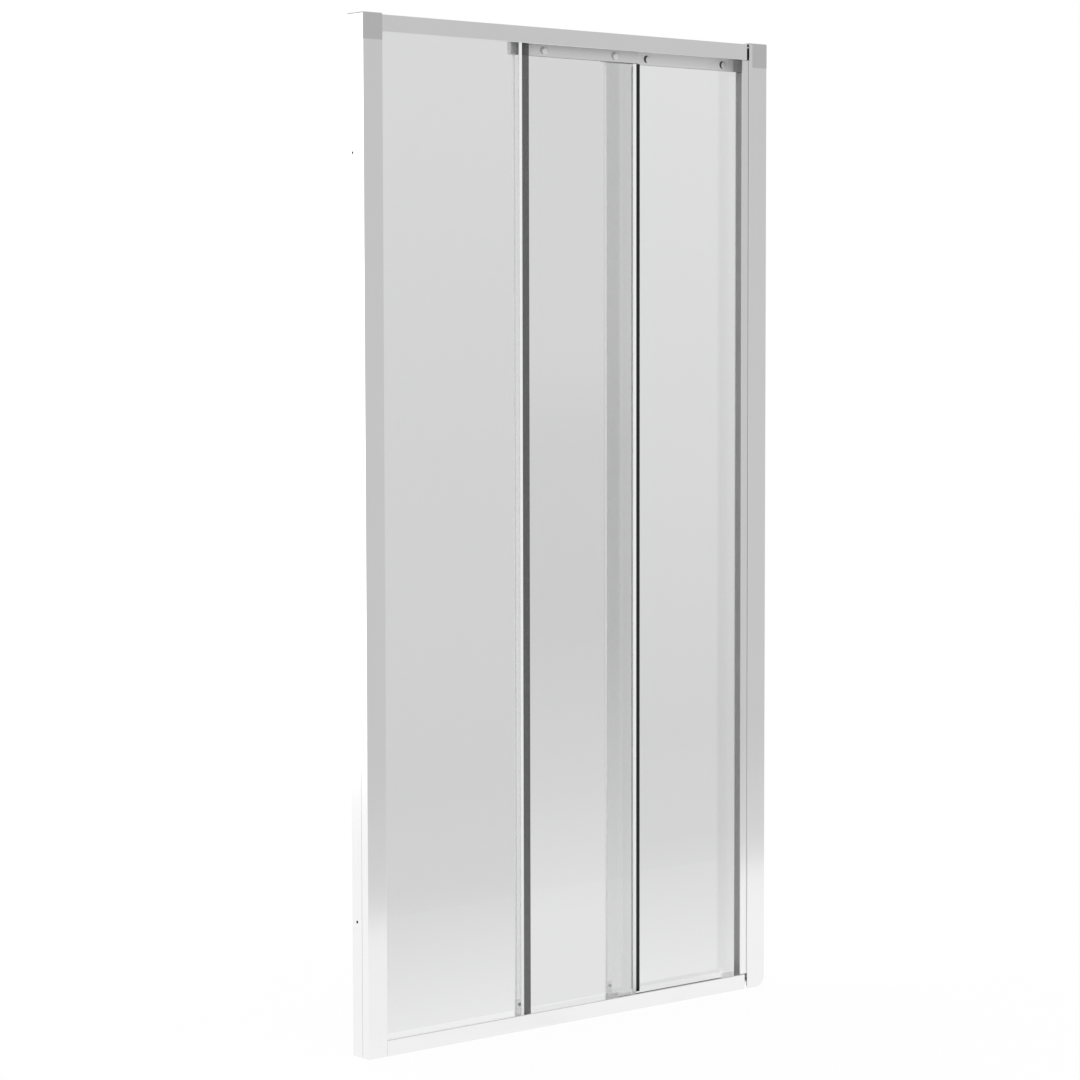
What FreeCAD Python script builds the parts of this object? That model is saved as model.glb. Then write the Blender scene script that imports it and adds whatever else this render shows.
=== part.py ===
import FreeCAD, Part
import os

os.makedirs("parts", exist_ok=True)

V = FreeCAD.Vector

# Sliding shower screen, closed, in millimetres. X runs along the width, Y from the
# outside to the inside of the shower and Z up. The origin is the bottom centre.

# Overall size
WIDTH = 1000.0
HEIGHT = 1900.0

# Faces of the frame, as seen from the front
JAMB_FACE = 43.0
CHANNEL_FACE = 47.0
JAMB_REVEAL = 17.0
RAIL_GAP = 7.0
SILL_HEIGHT = 30.0
CAP_THICK = 2.5
TONGUE_REACH = 45.5
TONGUE_INSET = 8.0

# Reach of the fixed pane from the left wall, and of the middle door beyond it.
# The leading door takes up the rest of the width.
FIXED_REACH = 369.1
MIDDLE_REACH = 299.4
MIDDLE_LAP = 5.9
LEADING_LAP = 62.4
CLOSING_SHOW = 3.0

# Thicknesses
WALL = 2.0
WEB = 1.5
GLASS = 5.0
TONGUE_THICK = 1.0
GLAZING_RUBBER = 1.9
POCKET_RUBBER = 0.9
BAR_SKIN = 2.0
BAR_RUBBER = 0.4
PLATE_THICK = 2.0
CLOSING_SKIN = 1.1
STRIKE_THICK = 1.5
CLOSING_SEAL = 2.0
FIN_THICK = 1.5
SHOE_SKIN = 1.4

# Clearances
SLIP = 0.5
GLASS_GAP = 0.1
NEST_GAP = 0.4
HOLE_GAP = 0.3
SHOE_GAP = 0.3
ROLL_GAP = 0.3
BORE_GAP = 0.05
FIN_GAP = 0.4
SIDE_GAP = 0.2
PASS_GAP = 2.0
FIXED_GAP = 4.5
BAR_CLEAR = 0.8
PORT_GAP = 1.2
TRAVEL_GAP = 3.8
LEADING_END_GAP = 13.1

# Frame sections
JAMB_RETURN = 18.5
GLAZE_DEPTH = 14.0
LEG_NEST = 36.0
LEG_INSET = 10.0
POCKET_DEPTH = 17.0
POCKET_COVER = 12.0
NOTCH_LAP = 7.0
CORNER_RADIUS = 22.0
EDGE_ROUND = 0.8
LIP_ROUND = 1.5
LUG_DEPTH = 10.0
CAP_ROUND = 2.0
LEDGE_RISE = 7.0
BEAD_RADIUS = 0.8
BEAD_RISE = 1.0
RIB_HEIGHT = 14.0
SILL_BACK_HEIGHT = 16.5
WEEP_LENGTH = 16.0
WEEP_HEIGHT = 3.0
WEEP_SPACING = 300.0

# Screws, their holes and their ports
SCREW_RADIUS = 1.75
SCREW_HEAD_RADIUS = 3.2
FLAT_HEAD = 1.2
PAN_HEAD = 2.2
PAN_HEAD_RADIUS = 2.9
PORT_WALL = 1.2
PORT_SINK = 0.5
PORT_SLIT = 1.6
PORT_SCREW_LENGTH = 22.0
TIE_MARGIN = 150.0
TIE_INSET = 21.0
WALL_HOLE_RADIUS = 2.75
WALL_HOLE_LOW = 250.0
WALL_HOLE_SPACING = 1400.0

# Ground edges of the glass, edge profiles and seals
ARRIS = 0.5
FIXED_PROFILE_FACE = 6.5
FIXED_PROFILE_BACK = 2.5
FIXED_SEAL_WIDTH = 17.6
FIXED_FIN_INSET = 7.0
MIDDLE_PROFILE_FACE = 8.0
MIDDLE_PROFILE_BACK = 3.0
MIDDLE_PROFILE_SKIN = 1.9
MIDDLE_SEAL_WIDTH = 10.0
SEAL_ROUND = 1.0
FIN_MARGIN = 4.0
CLOSING_PROFILE_BACK = 8.0
CLOSING_SEAL_RISE = 20.0
STRIKE_WIDTH = 8.0

# Hanger bars, bolts and rollers
BAR_HEIGHT = 25.2
BAR_OVERHANG = 10.0
BAR_PAST_EDGE = 6.4
BAR_ROUND = 0.8
END_CAP = 2.0
BUMPER_LAP = 9.7
BOLT_RISE = 10.5
BOLT_RADIUS = 2.5
BOLT_HEAD = 2.0
BOLT_HEAD_RADIUS = 8.0
BOLT_CHAMFER = 0.7
GLASS_HOLE_GAP = 0.5
MIDDLE_BOLT_INSETS = (74.6, 53.1)
LEADING_BOLT_INSETS = (107.1, 35.9)
ROLLER_RADIUS = 7.5
ROLLER_WIDTH = 5.0
ROLLER_STANDOFF = 1.2
ROLLER_CHAMFER = 0.4
GROOVE_HALF = 1.4
GROOVE_DEPTH = 1.5
HUB_RADIUS = 4.4
RIM_INNER = 5.4
DISH_DEPTH = 0.8
AXLE_RADIUS = 2.5
AXLE_COLLAR_RADIUS = 4.0
AXLE_COLLAR = 0.8
AXLE_STUB_RADIUS = 2.0
PLATE_WIDTH = 24.0
PLATE_FOOT = 3.0
PLATE_HEAD = 5.0
PLATE_ROUND = 3.0
STOP_LENGTH = 12.0
STOP_WIDTH = 8.0
STOP_HEIGHT = 11.0
STOP_GAP = 1.0

# Guide shoes
SHOE_LENGTH = 30.0
SHOE_LOW = 4.0
SHOE_FLOOR = 12.0
SHOE_INSET = 2.0
SHOE_TAB = 16.0
SHOE_TAB_HIGH = 56.0
SHOE_SCREW_INSET = 8.0
SHOE_SCREW_Z = 47.0
SHOE_SCREW_RADIUS = 2.0
SHOE_SCREW_HEAD_RADIUS = 3.5

# How far a cutting tool reaches past the face that it opens, and how closely an edge is matched
OVERCUT = 1.0
EDGE_MATCH = 0.01

# Depth, added up from the front: fixed pane, middle door, leading door
HALF_GLASS = GLASS / 2
HALF_SEAT = HALF_GLASS + GLASS_GAP
BAR_DEPTH = 2 * (HALF_SEAT + BAR_RUBBER + BAR_SKIN)
HALF_BAR = BAR_DEPTH / 2
FRONT_TO_FIXED = WALL + GLAZING_RUBBER + HALF_SEAT
FIXED_TO_MIDDLE = HALF_SEAT + GLAZING_RUBBER + FIXED_GAP + BOLT_HEAD + HALF_BAR
MIDDLE_TO_LEADING = BAR_DEPTH + PLATE_THICK + PASS_GAP + BOLT_HEAD
LEADING_TO_BACK = HALF_BAR + PLATE_THICK + SLIP + WALL
DEPTH = FRONT_TO_FIXED + FIXED_TO_MIDDLE + MIDDLE_TO_LEADING + LEADING_TO_BACK
Y_FRONT = -DEPTH / 2
Y_BACK = DEPTH / 2
Y_FIXED = Y_FRONT + FRONT_TO_FIXED
Y_MIDDLE = Y_FIXED + FIXED_TO_MIDDLE
Y_LEADING = Y_MIDDLE + MIDDLE_TO_LEADING

# Width
X_LEFT = -WIDTH / 2
X_RIGHT = WIDTH / 2
JAMB_INNER = X_LEFT + JAMB_FACE
CHANNEL_INNER = X_RIGHT - CHANNEL_FACE
REVEAL_INNER = CHANNEL_INNER - JAMB_REVEAL
RAIL_END = CHANNEL_INNER - RAIL_GAP
POCKET_END = CHANNEL_INNER + POCKET_DEPTH
FIXED_EDGE = X_LEFT + FIXED_REACH
MIDDLE_EDGE = FIXED_EDGE + MIDDLE_REACH
FIXED_SEAL_EDGE = FIXED_EDGE + FIXED_SEAL_WIDTH

# Height of the head rail, added up over the roller
SCREW_HOLE_RADIUS = SCREW_RADIUS + HOLE_GAP
PORT_RADIUS = SCREW_HOLE_RADIUS + PORT_WALL
PORT_HEIGHT = 2 * PORT_RADIUS - PORT_SINK
HEAD_HEIGHT = LEDGE_RISE + ROLL_GAP + 2 * ROLLER_RADIUS + PORT_GAP + PORT_HEIGHT + WALL
TOP = HEIGHT - CAP_THICK
LIP = TOP - HEAD_HEIGHT
HEAD_UNDER = TOP - WALL
LEDGE_TOP = LIP + LEDGE_RISE
LEDGE_LOW = LEDGE_TOP - WEB
ROLLER_Z = LEDGE_TOP + ROLL_GAP + ROLLER_RADIUS
BAR_HIGH = LEDGE_LOW - BAR_CLEAR
BAR_LOW = BAR_HIGH - BAR_HEIGHT
BOLT_Z = BAR_LOW + BOLT_RISE
GLASS_HIGH = BAR_HIGH - BAR_SKIN - BAR_RUBBER
GLASS_LOW = SHOE_LOW + SHOE_FLOOR
PANE_LOW = WALL + GLAZING_RUBBER
PANE_HIGH = HEAD_UNDER - PORT_HEIGHT - GLAZING_RUBBER
PROFILE_HIGH = BAR_LOW - OVERCUT
FIN_LOW = SILL_HEIGHT + FIN_MARGIN
FIN_HIGH = PROFILE_HIGH - FIN_MARGIN

# Walls of the two rails that carry the fixed pane and the sliding doors
SEAT_FRONT = Y_FIXED - HALF_SEAT
SEAT_BACK = Y_FIXED + HALF_SEAT
POCKET_FRONT = Y_FRONT + WALL
POCKET_BACK = SEAT_BACK + GLAZING_RUBBER
ROLLER_BACK = HALF_BAR - ROLLER_STANDOFF
ROLLER_FRONT = ROLLER_BACK - ROLLER_WIDTH
ROLLER_MID = (ROLLER_FRONT + ROLLER_BACK) / 2
LEDGE_REACH = ROLLER_BACK + SLIP
TRACK_WEBS = (POCKET_BACK, Y_MIDDLE + HALF_BAR + PLATE_THICK + WEB)
TRACKS = ((Y_MIDDLE, TRACK_WEBS[0]), (Y_LEADING, TRACK_WEBS[1]))
SHOE_HALF = HALF_SEAT + SHOE_SKIN
RIB_INNER = SHOE_HALF + SHOE_GAP
RIB_OUTER = RIB_INNER + WEB
RIB_END = REVEAL_INNER - SLIP

# Ports for the screws that tie the rails to the left jamb, as (y, z)
HEAD_PORT_Z = HEAD_UNDER + PORT_SINK - PORT_RADIUS
HEAD_PORTS = [(web + WEB + PORT_RADIUS - PORT_SINK, HEAD_PORT_Z) for web in TRACK_WEBS]
SILL_PORT_Z = WALL - PORT_SINK + PORT_RADIUS
SILL_PORTS = [((POCKET_BACK + WEB + Y_MIDDLE - RIB_OUTER) / 2, SILL_PORT_Z),
              ((Y_MIDDLE + Y_LEADING) / 2, SILL_PORT_Z)]

# Screws put in from the back, as (x, z)
TIE_ZS = (TIE_MARGIN, TOP / 2, TOP - TIE_MARGIN)
LEFT_TIES = [(X_LEFT + TIE_INSET, z) for z in TIE_ZS]
RIGHT_TIES = [(X_RIGHT - TIE_INSET, z) for z in TIE_ZS]
RIGHT_CORNER_X = (REVEAL_INNER + RAIL_END) / 2
RIGHT_CORNERS = [(RIGHT_CORNER_X, (LIP + TOP) / 2), (RIGHT_CORNER_X, SILL_BACK_HEIGHT / 2)]
WALL_HOLE_ZS = (WALL_HOLE_LOW, WALL_HOLE_LOW + WALL_HOLE_SPACING)


def box(x0, x1, y0, y1, z0, z1):
    """A plain block between two corners."""
    return Part.makeBox(x1 - x0, y1 - y0, z1 - z0, V(x0, y0, z0))


def rod_x(y, z, radius, x0, x1):
    """A round bar along X."""
    return Part.makeCylinder(radius, x1 - x0, V(x0, y, z), V(1, 0, 0))


def rod_y(x, z, radius, y0, y1):
    """A round bar along Y."""
    return Part.makeCylinder(radius, y1 - y0, V(x, y0, z), V(0, 1, 0))


def wall_outline(path, thick):
    """Outline of a wall of even thickness that follows a path of straight runs."""
    points = [V(a, b, 0) for a, b in path]
    normals = []
    for start, end in zip(points, points[1:]):
        run = (end - start).normalize()
        normals.append(V(-run.y, run.x, 0))
    befores = [normals[0]] + normals
    afters = normals + [normals[-1]]
    offsets = [(n + m) * (thick / 2 / (1 + n.dot(m))) for n, m in zip(befores, afters)]
    left = [p + d for p, d in zip(points, offsets)]
    right = [p - d for p, d in zip(points, offsets)]
    return [(p.x, p.y) for p in left + right[::-1]]


def upright(outline, z0, z1):
    """A section drawn as (x, y) points, run up from z0 to z1."""
    wire = Part.makePolygon([V(x, y, z0) for x, y in outline + outline[:1]])
    return Part.Face(wire).extrude(V(0, 0, z1 - z0))


def lengthwise(outline, x0, x1):
    """A section drawn as (y, z) points, run along X from x0 to x1."""
    wire = Part.makePolygon([V(x0, y, z) for y, z in outline + outline[:1]])
    return Part.Face(wire).extrude(V(x1 - x0, 0, 0))


def turned(outline, x, y, z):
    """A section drawn as (radius, y) points, turned about a line along Y."""
    wire = Part.makePolygon([V(x + r, y + along, z) for r, along in outline + outline[:1]])
    return Part.Face(wire).revolve(V(x, y, z), V(0, 1, 0), 360)


def joined(shapes):
    """One solid out of sections that meet or lap."""
    return shapes[0].multiFuse(shapes[1:]).removeSplitter()


def cut_by(shape, tools):
    """The shape with every tool taken away."""
    for tool in tools:
        shape = shape.cut(tool)
    return shape


def rounded(shape, radius, spots):
    """The shape with a round on each edge that lies at one of the spots.

    A spot maps two axes to their values, so {"x": 1, "y": 2} picks an upright edge.
    """
    chosen = []
    for edge in shape.Edges:
        ends = [vertex.Point for vertex in edge.Vertexes]
        for spot in spots:
            misses = [abs(getattr(end, axis) - value) for end in ends for axis, value in spot.items()]
            if max(misses) < EDGE_MATCH:
                chosen.append(edge)
    return shape.makeFillet(radius, chosen)


def save(name, *solids):
    """Write one node, as a single solid or as a group of solids."""
    shape = solids[0] if len(solids) == 1 else Part.makeCompound(list(solids))
    shape.exportStep("parts/" + name + ".step")


def back_holes(spots):
    """Tools for flat-headed screws put in from the back face."""
    tools = []
    for x, z in spots:
        tools.append(rod_y(x, z, SCREW_HOLE_RADIUS, Y_BACK - 2 * WALL - OVERCUT, Y_BACK + OVERCUT))
        tools.append(rod_y(x, z, SCREW_HEAD_RADIUS + HOLE_GAP, Y_BACK - FLAT_HEAD, Y_BACK + OVERCUT))
    return tools


def back_screws(spots, grip):
    """Flat-headed screws put in from the back face, through the given thickness."""
    outline = [(0, 0), (SCREW_HEAD_RADIUS, 0), (SCREW_HEAD_RADIUS, -FLAT_HEAD),
               (SCREW_RADIUS, -FLAT_HEAD), (SCREW_RADIUS, -grip), (0, -grip)]
    return [turned(outline, x, Y_BACK, z) for x, z in spots]


def tongue_seat(left, right):
    """Tool for the shallow seat of a cap's tongue in the front face of an upright."""
    return box(left, right, Y_FRONT - OVERCUT, Y_FRONT + TONGUE_THICK, TOP - TONGUE_REACH, TOP + OVERCUT)


def top_cap(name, left, tongue_left, right, lug):
    """Cap over an upright, with a lug inside it and a tongue that lies flush in its front face."""
    tongue_back = Y_FRONT + TONGUE_THICK
    tongue_low = TOP - TONGUE_REACH
    outline = [(Y_FRONT, tongue_low), (tongue_back, tongue_low), (tongue_back, TOP), (Y_BACK, TOP),
               (Y_BACK, HEIGHT), (Y_FRONT, HEIGHT)]
    plate = box(left, right, Y_FRONT, Y_BACK, TOP, HEIGHT)
    cap = joined([lengthwise(outline, tongue_left, right), plate, lug])
    cap = rounded(cap, CAP_ROUND, [{"y": Y_FRONT, "z": HEIGHT}, {"x": left, "z": HEIGHT},
                                   {"x": right, "z": HEIGHT}])
    save(name, cap)


def left_side():
    """Wall channel, jamb, cap and screws on the left, with the glazing pocket of the fixed pane."""
    front = Y_FRONT + JAMB_RETURN + SLIP
    flange_front = front + WALL / 2
    flange_back = Y_BACK - WALL / 2
    web = X_LEFT + WALL / 2
    nest = X_LEFT + LEG_NEST
    path = [(nest, flange_front), (web, flange_front), (web, flange_back), (nest, flange_back)]
    channel = upright(wall_outline(path, WALL), 0, TOP)
    hole_y = (front + Y_BACK) / 2
    holes = [rod_x(hole_y, z, WALL_HOLE_RADIUS, X_LEFT - OVERCUT, X_LEFT + WALL + OVERCUT)
             for z in WALL_HOLE_ZS]
    save("left_wall_channel", cut_by(channel, holes + back_holes(LEFT_TIES)))

    face = Y_FRONT + WALL / 2
    glaze_front = SEAT_FRONT - POCKET_RUBBER - WEB / 2
    glaze_back = SEAT_BACK + POCKET_RUBBER + WEB / 2
    glaze_end = JAMB_INNER - GLAZE_DEPTH - WEB / 2
    inner = JAMB_INNER - WEB / 2
    leg_end = X_LEFT + LEG_INSET
    leg_front = front + WALL + NEST_GAP + WEB / 2
    leg_back = Y_BACK - WALL - NEST_GAP - WEB / 2
    face_path = [(web, Y_FRONT + JAMB_RETURN), (web, face), (JAMB_INNER, face)]
    pocket_path = [(JAMB_INNER, glaze_front), (glaze_end, glaze_front), (glaze_end, glaze_back),
                   (inner, glaze_back), (inner, leg_back), (leg_end, leg_back)]
    leg_path = [(leg_end, leg_front), (JAMB_INNER, leg_front)]
    jamb = joined([upright(wall_outline(face_path, WALL), 0, TOP),
                   upright(wall_outline(pocket_path, WEB), 0, TOP),
                   upright(wall_outline(leg_path, WEB), 0, TOP)])
    jamb = rounded(jamb, EDGE_ROUND, [{"x": X_LEFT, "y": Y_FRONT}, {"x": JAMB_INNER, "y": Y_FRONT}])
    holes = [rod_x(y, z, SCREW_HOLE_RADIUS, JAMB_INNER - WEB - OVERCUT, JAMB_INNER + OVERCUT)
             for y, z in HEAD_PORTS + SILL_PORTS]
    seat = tongue_seat(X_LEFT - OVERCUT, JAMB_INNER + OVERCUT)
    save("left_jamb", cut_by(jamb, [seat] + holes + back_holes(LEFT_TIES)))

    lug = box(X_LEFT + WALL + SLIP, glaze_end - WEB / 2 - SLIP, Y_FRONT + WALL + SLIP, front - SLIP,
              TOP - LUG_DEPTH, TOP)
    top_cap("left_top_cap", X_LEFT, X_LEFT, JAMB_INNER, lug)

    screws = []
    for y, z in HEAD_PORTS + SILL_PORTS:
        start = JAMB_INNER - WEB
        head = rod_x(y, z, PAN_HEAD_RADIUS, start - PAN_HEAD, start)
        screws.append(head.fuse(rod_x(y, z, SCREW_RADIUS, start, start + PORT_SCREW_LENGTH)))
    save("left_corner_screws", *screws)
    save("left_channel_screws", *back_screws(LEFT_TIES, WALL + NEST_GAP + WEB + SLIP))


def right_side():
    """Wall channel, jamb, cap and screws on the right, with the pocket for the leading door."""
    front = Y_FRONT + WALL / 2
    back = Y_BACK - WALL / 2
    web = X_RIGHT - WALL / 2
    cover = POCKET_END - POCKET_COVER
    path = [(CHANNEL_INNER, front), (web, front), (web, back), (cover, back)]
    channel = upright(wall_outline(path, WALL), 0, TOP)
    channel = rounded(channel, EDGE_ROUND, [{"x": CHANNEL_INNER, "y": Y_FRONT},
                                            {"x": X_RIGHT, "y": Y_FRONT}])
    centre = X_RIGHT - CORNER_RADIUS
    corner = box(centre, X_RIGHT + OVERCUT, Y_FRONT - OVERCUT, Y_BACK + OVERCUT, -OVERCUT, CORNER_RADIUS)
    kept = rod_y(centre, CORNER_RADIUS, CORNER_RADIUS, Y_FRONT - 2 * OVERCUT, Y_BACK + 2 * OVERCUT)
    corner = corner.cut(kept)
    holes = [rod_x(0, z, WALL_HOLE_RADIUS, X_RIGHT - WALL - OVERCUT, X_RIGHT + OVERCUT)
             for z in WALL_HOLE_ZS]
    tongue_left = CHANNEL_INNER + TONGUE_INSET
    seat = tongue_seat(tongue_left, X_RIGHT + OVERCUT)
    save("right_wall_channel", cut_by(channel, [corner, seat] + holes + back_holes(RIGHT_TIES)))

    back_skin = PLATE_THICK - NEST_GAP
    face = Y_FRONT + WALL + NEST_GAP + WALL / 2
    rear = Y_BACK - WALL - NEST_GAP - back_skin / 2
    leg_end = X_RIGHT - LEG_INSET
    pocket = POCKET_END + WALL / 2
    jamb = joined([
        upright(wall_outline([(REVEAL_INNER, face), (leg_end, face)], WALL), WALL, HEAD_UNDER),
        upright(wall_outline([(pocket, face), (pocket, rear)], WALL), WALL, HEAD_UNDER),
        upright(wall_outline([(REVEAL_INNER, rear), (leg_end, rear)], back_skin), WALL, HEAD_UNDER),
    ])
    notch_end = CHANNEL_INNER + NOTCH_LAP
    notch_back = face + WALL / 2 + SLIP
    notches = [box(REVEAL_INNER - OVERCUT, notch_end, Y_FRONT, notch_back, 0, SILL_HEIGHT + SLIP),
               box(REVEAL_INNER - OVERCUT, notch_end, Y_FRONT, notch_back, LIP - SLIP, TOP),
               box(REVEAL_INNER - OVERCUT, cover, notch_back, Y_BACK, SILL_BACK_HEIGHT, LEDGE_LOW)]
    save("right_jamb", cut_by(jamb, notches + back_holes(RIGHT_CORNERS + RIGHT_TIES)))

    lug = box(leg_end + SLIP, X_RIGHT - WALL - SLIP, Y_FRONT + WALL + SLIP, Y_BACK - WALL - SLIP,
              TOP - LUG_DEPTH, TOP)
    top_cap("right_top_cap", CHANNEL_INNER, tongue_left, X_RIGHT, lug)
    save("right_channel_screws", *back_screws(RIGHT_TIES, WALL + NEST_GAP + back_skin))
    save("right_corner_screws", *back_screws(RIGHT_CORNERS, WALL + NEST_GAP + back_skin))

    strike_y = Y_LEADING - STRIKE_WIDTH / 2
    strike = box(POCKET_END - STRIKE_THICK, POCKET_END, strike_y, strike_y + STRIKE_WIDTH,
                 GLASS_LOW + CLOSING_SEAL_RISE, PROFILE_HIGH)
    save("strike_gasket", strike)


def screw_ports(ports, slit_up):
    """Open-sided tubes along a rail that take the screws, and the tools that open them."""
    tubes = [rod_x(y, z, PORT_RADIUS, JAMB_INNER, RIB_END) for y, z in ports]
    tools = []
    for y, z in ports:
        tools.append(rod_x(y, z, SCREW_HOLE_RADIUS, JAMB_INNER - OVERCUT, RIB_END + OVERCUT))
        reach = PORT_RADIUS + OVERCUT if slit_up else -PORT_RADIUS - OVERCUT
        tools.append(box(JAMB_INNER - OVERCUT, RIB_END + OVERCUT, y - PORT_SLIT / 2, y + PORT_SLIT / 2,
                         min(z, z + reach), max(z, z + reach)))
    return tubes, tools


def head_rail():
    """Rail with the glazing pocket, and for each door a ledge with a bead that its rollers run on.

    Its back wall ends level with the ledges, so that it can't be seen under the front lip.
    """
    front = Y_FRONT + WALL / 2
    back = Y_BACK - WALL / 2
    top = TOP - WALL / 2
    ledge = LEDGE_TOP - WEB / 2
    path = [(front, LIP), (front, top), (back, top), (back, LEDGE_LOW)]
    shapes = [lengthwise(wall_outline(path, WALL), JAMB_INNER, RAIL_END)]
    bead_z = LEDGE_TOP + BEAD_RISE - BEAD_RADIUS
    for plane, web in TRACKS:
        path = [(web + WEB / 2, HEAD_UNDER), (web + WEB / 2, ledge), (plane + LEDGE_REACH, ledge)]
        shapes.append(lengthwise(wall_outline(path, WEB), JAMB_INNER, RAIL_END))
        shapes.append(rod_x(plane + ROLLER_MID, bead_z, BEAD_RADIUS, JAMB_INNER, RAIL_END))
    tubes, tools = screw_ports(HEAD_PORTS, slit_up=False)
    rail = joined(shapes + tubes)
    rail = rounded(rail, EDGE_ROUND, [{"y": Y_FRONT, "z": TOP}])
    rail = rounded(rail, LIP_ROUND, [{"y": Y_FRONT, "z": LIP}])
    save("head_rail", cut_by(rail, tools + back_holes(RIGHT_CORNERS[:1])))


def sill_rail():
    """Rail with the glazing pocket, guide ribs for the shoes and slots that let water out to the inside."""
    front = Y_FRONT + WALL / 2
    back = Y_BACK - WALL / 2
    floor = WALL / 2
    path = [(front, SILL_HEIGHT), (front, floor), (back, floor), (back, SILL_BACK_HEIGHT)]
    shapes = [lengthwise(wall_outline(path, WALL), JAMB_INNER, RAIL_END)]
    uprights = [(POCKET_BACK + WEB / 2, SILL_BACK_HEIGHT)]
    for plane in (Y_MIDDLE, Y_LEADING):
        middle_of_rib = (RIB_INNER + RIB_OUTER) / 2
        uprights += [(plane - middle_of_rib, RIB_HEIGHT), (plane + middle_of_rib, RIB_HEIGHT)]
    for y, height in uprights:
        shapes.append(lengthwise(wall_outline([(y, floor), (y, height)], WEB), JAMB_INNER, RIB_END))
    tubes, tools = screw_ports(SILL_PORTS, slit_up=True)
    for count in (-1, 0, 1):
        x = count * WEEP_SPACING
        tools.append(box(x - WEEP_LENGTH / 2, x + WEEP_LENGTH / 2, POCKET_BACK, Y_BACK + OVERCUT,
                         WALL, WALL + WEEP_HEIGHT))
    rail = rounded(joined(shapes + tubes), LIP_ROUND, [{"y": Y_FRONT, "z": SILL_HEIGHT}])
    save("sill_rail", cut_by(rail, tools + back_holes(RIGHT_CORNERS[1:])))


def track_stops():
    """Rubber blocks over the bead at both ends of each door's travel."""
    blocks = []
    doors = ((Y_MIDDLE, MIDDLE_BOLTS, MIDDLE_TRAVEL), (Y_LEADING, LEADING_BOLTS, LEADING_TRAVEL))
    for plane, bolts, travel in doors:
        end = plane + LEDGE_REACH
        bead = plane + ROLLER_MID
        half_groove = BEAD_RADIUS + HOLE_GAP
        left = bolts[0] - ROLLER_RADIUS - travel - STOP_GAP - STOP_LENGTH
        right = bolts[1] + ROLLER_RADIUS + STOP_GAP
        for x in (left, right):
            block = box(x, x + STOP_LENGTH, end - STOP_WIDTH, end, LEDGE_TOP, LEDGE_TOP + STOP_HEIGHT)
            groove = box(x - OVERCUT, x + STOP_LENGTH + OVERCUT, bead - half_groove, bead + half_groove,
                         LEDGE_TOP - OVERCUT, LEDGE_TOP + BEAD_RISE + HOLE_GAP)
            blocks.append(block.cut(groove))
    save("head_track_stops", *blocks)


def glass_sheet(left, right, plane, low, high):
    """A pane that fills its seat less a clearance all round, with its sharp edges ground off."""
    sheet = box(left + GLASS_GAP, right - GLASS_GAP, plane - HALF_GLASS, plane + HALF_GLASS,
                low + GLASS_GAP, high - GLASS_GAP)
    return sheet.makeChamfer(ARRIS, sheet.Edges)


def edge_channel(left, back_left, right, plane, skin, low, high):
    """A channel over the right-hand edge of a pane, whose two flanges may differ in width."""
    reach = HALF_SEAT + skin / 2
    web = right - skin / 2
    path = [(left, plane - reach), (web, plane - reach), (web, plane + reach), (back_left, plane + reach)]
    return upright(wall_outline(path, skin), low, high)


def fixed_pane():
    """Fixed pane with its gaskets, the bright profile on its free edge and the dark seal beside it."""
    glaze_end = JAMB_INNER - GLAZE_DEPTH
    pane_left = glaze_end + POCKET_RUBBER
    pane_right = FIXED_EDGE - GLAZING_RUBBER
    save("fixed_pane", glass_sheet(pane_left, pane_right, Y_FIXED, PANE_LOW, PANE_HIGH))

    front = SEAT_FRONT - POCKET_RUBBER / 2
    back = SEAT_BACK + POCKET_RUBBER / 2
    end = glaze_end + POCKET_RUBBER / 2
    path = [(JAMB_INNER, front), (end, front), (end, back), (JAMB_INNER, back)]
    save("fixed_pane_jamb_gasket", upright(wall_outline(path, POCKET_RUBBER), PANE_LOW, PANE_HIGH))

    front = SEAT_FRONT - GLAZING_RUBBER / 2
    back = SEAT_BACK + GLAZING_RUBBER / 2
    profile_left = FIXED_EDGE - FIXED_PROFILE_FACE
    top = PANE_HIGH + GLAZING_RUBBER / 2
    path = [(front, LIP + OVERCUT), (front, top), (back, top), (back, LIP + OVERCUT)]
    save("fixed_pane_head_gasket", lengthwise(wall_outline(path, GLAZING_RUBBER), JAMB_INNER, profile_left))
    low = PANE_LOW - GLAZING_RUBBER / 2
    path = [(front, SILL_HEIGHT - OVERCUT), (front, low), (back, low), (back, SILL_BACK_HEIGHT)]
    save("fixed_pane_sill_gasket", lengthwise(wall_outline(path, GLAZING_RUBBER), JAMB_INNER, profile_left))

    profile = edge_channel(profile_left, FIXED_EDGE - FIXED_PROFILE_BACK, FIXED_EDGE, Y_FIXED,
                           GLAZING_RUBBER, PANE_LOW, PANE_HIGH)
    save("fixed_edge_profile", profile)

    seal_front = POCKET_FRONT + SLIP
    seal_back = POCKET_BACK - SLIP
    body = box(FIXED_EDGE, FIXED_SEAL_EDGE, seal_front, seal_back, PANE_LOW, PANE_HIGH)
    body = rounded(body, SEAL_ROUND, [{"x": FIXED_SEAL_EDGE, "y": seal_front}])
    fin_x = FIXED_EDGE + FIXED_FIN_INSET
    fin_end = Y_MIDDLE - HALF_GLASS - FIN_GAP
    fin = box(fin_x, fin_x + FIN_THICK, seal_back - OVERCUT, fin_end, FIN_LOW, FIN_HIGH)
    save("fixed_edge_seal", joined([body, fin]))


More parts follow.
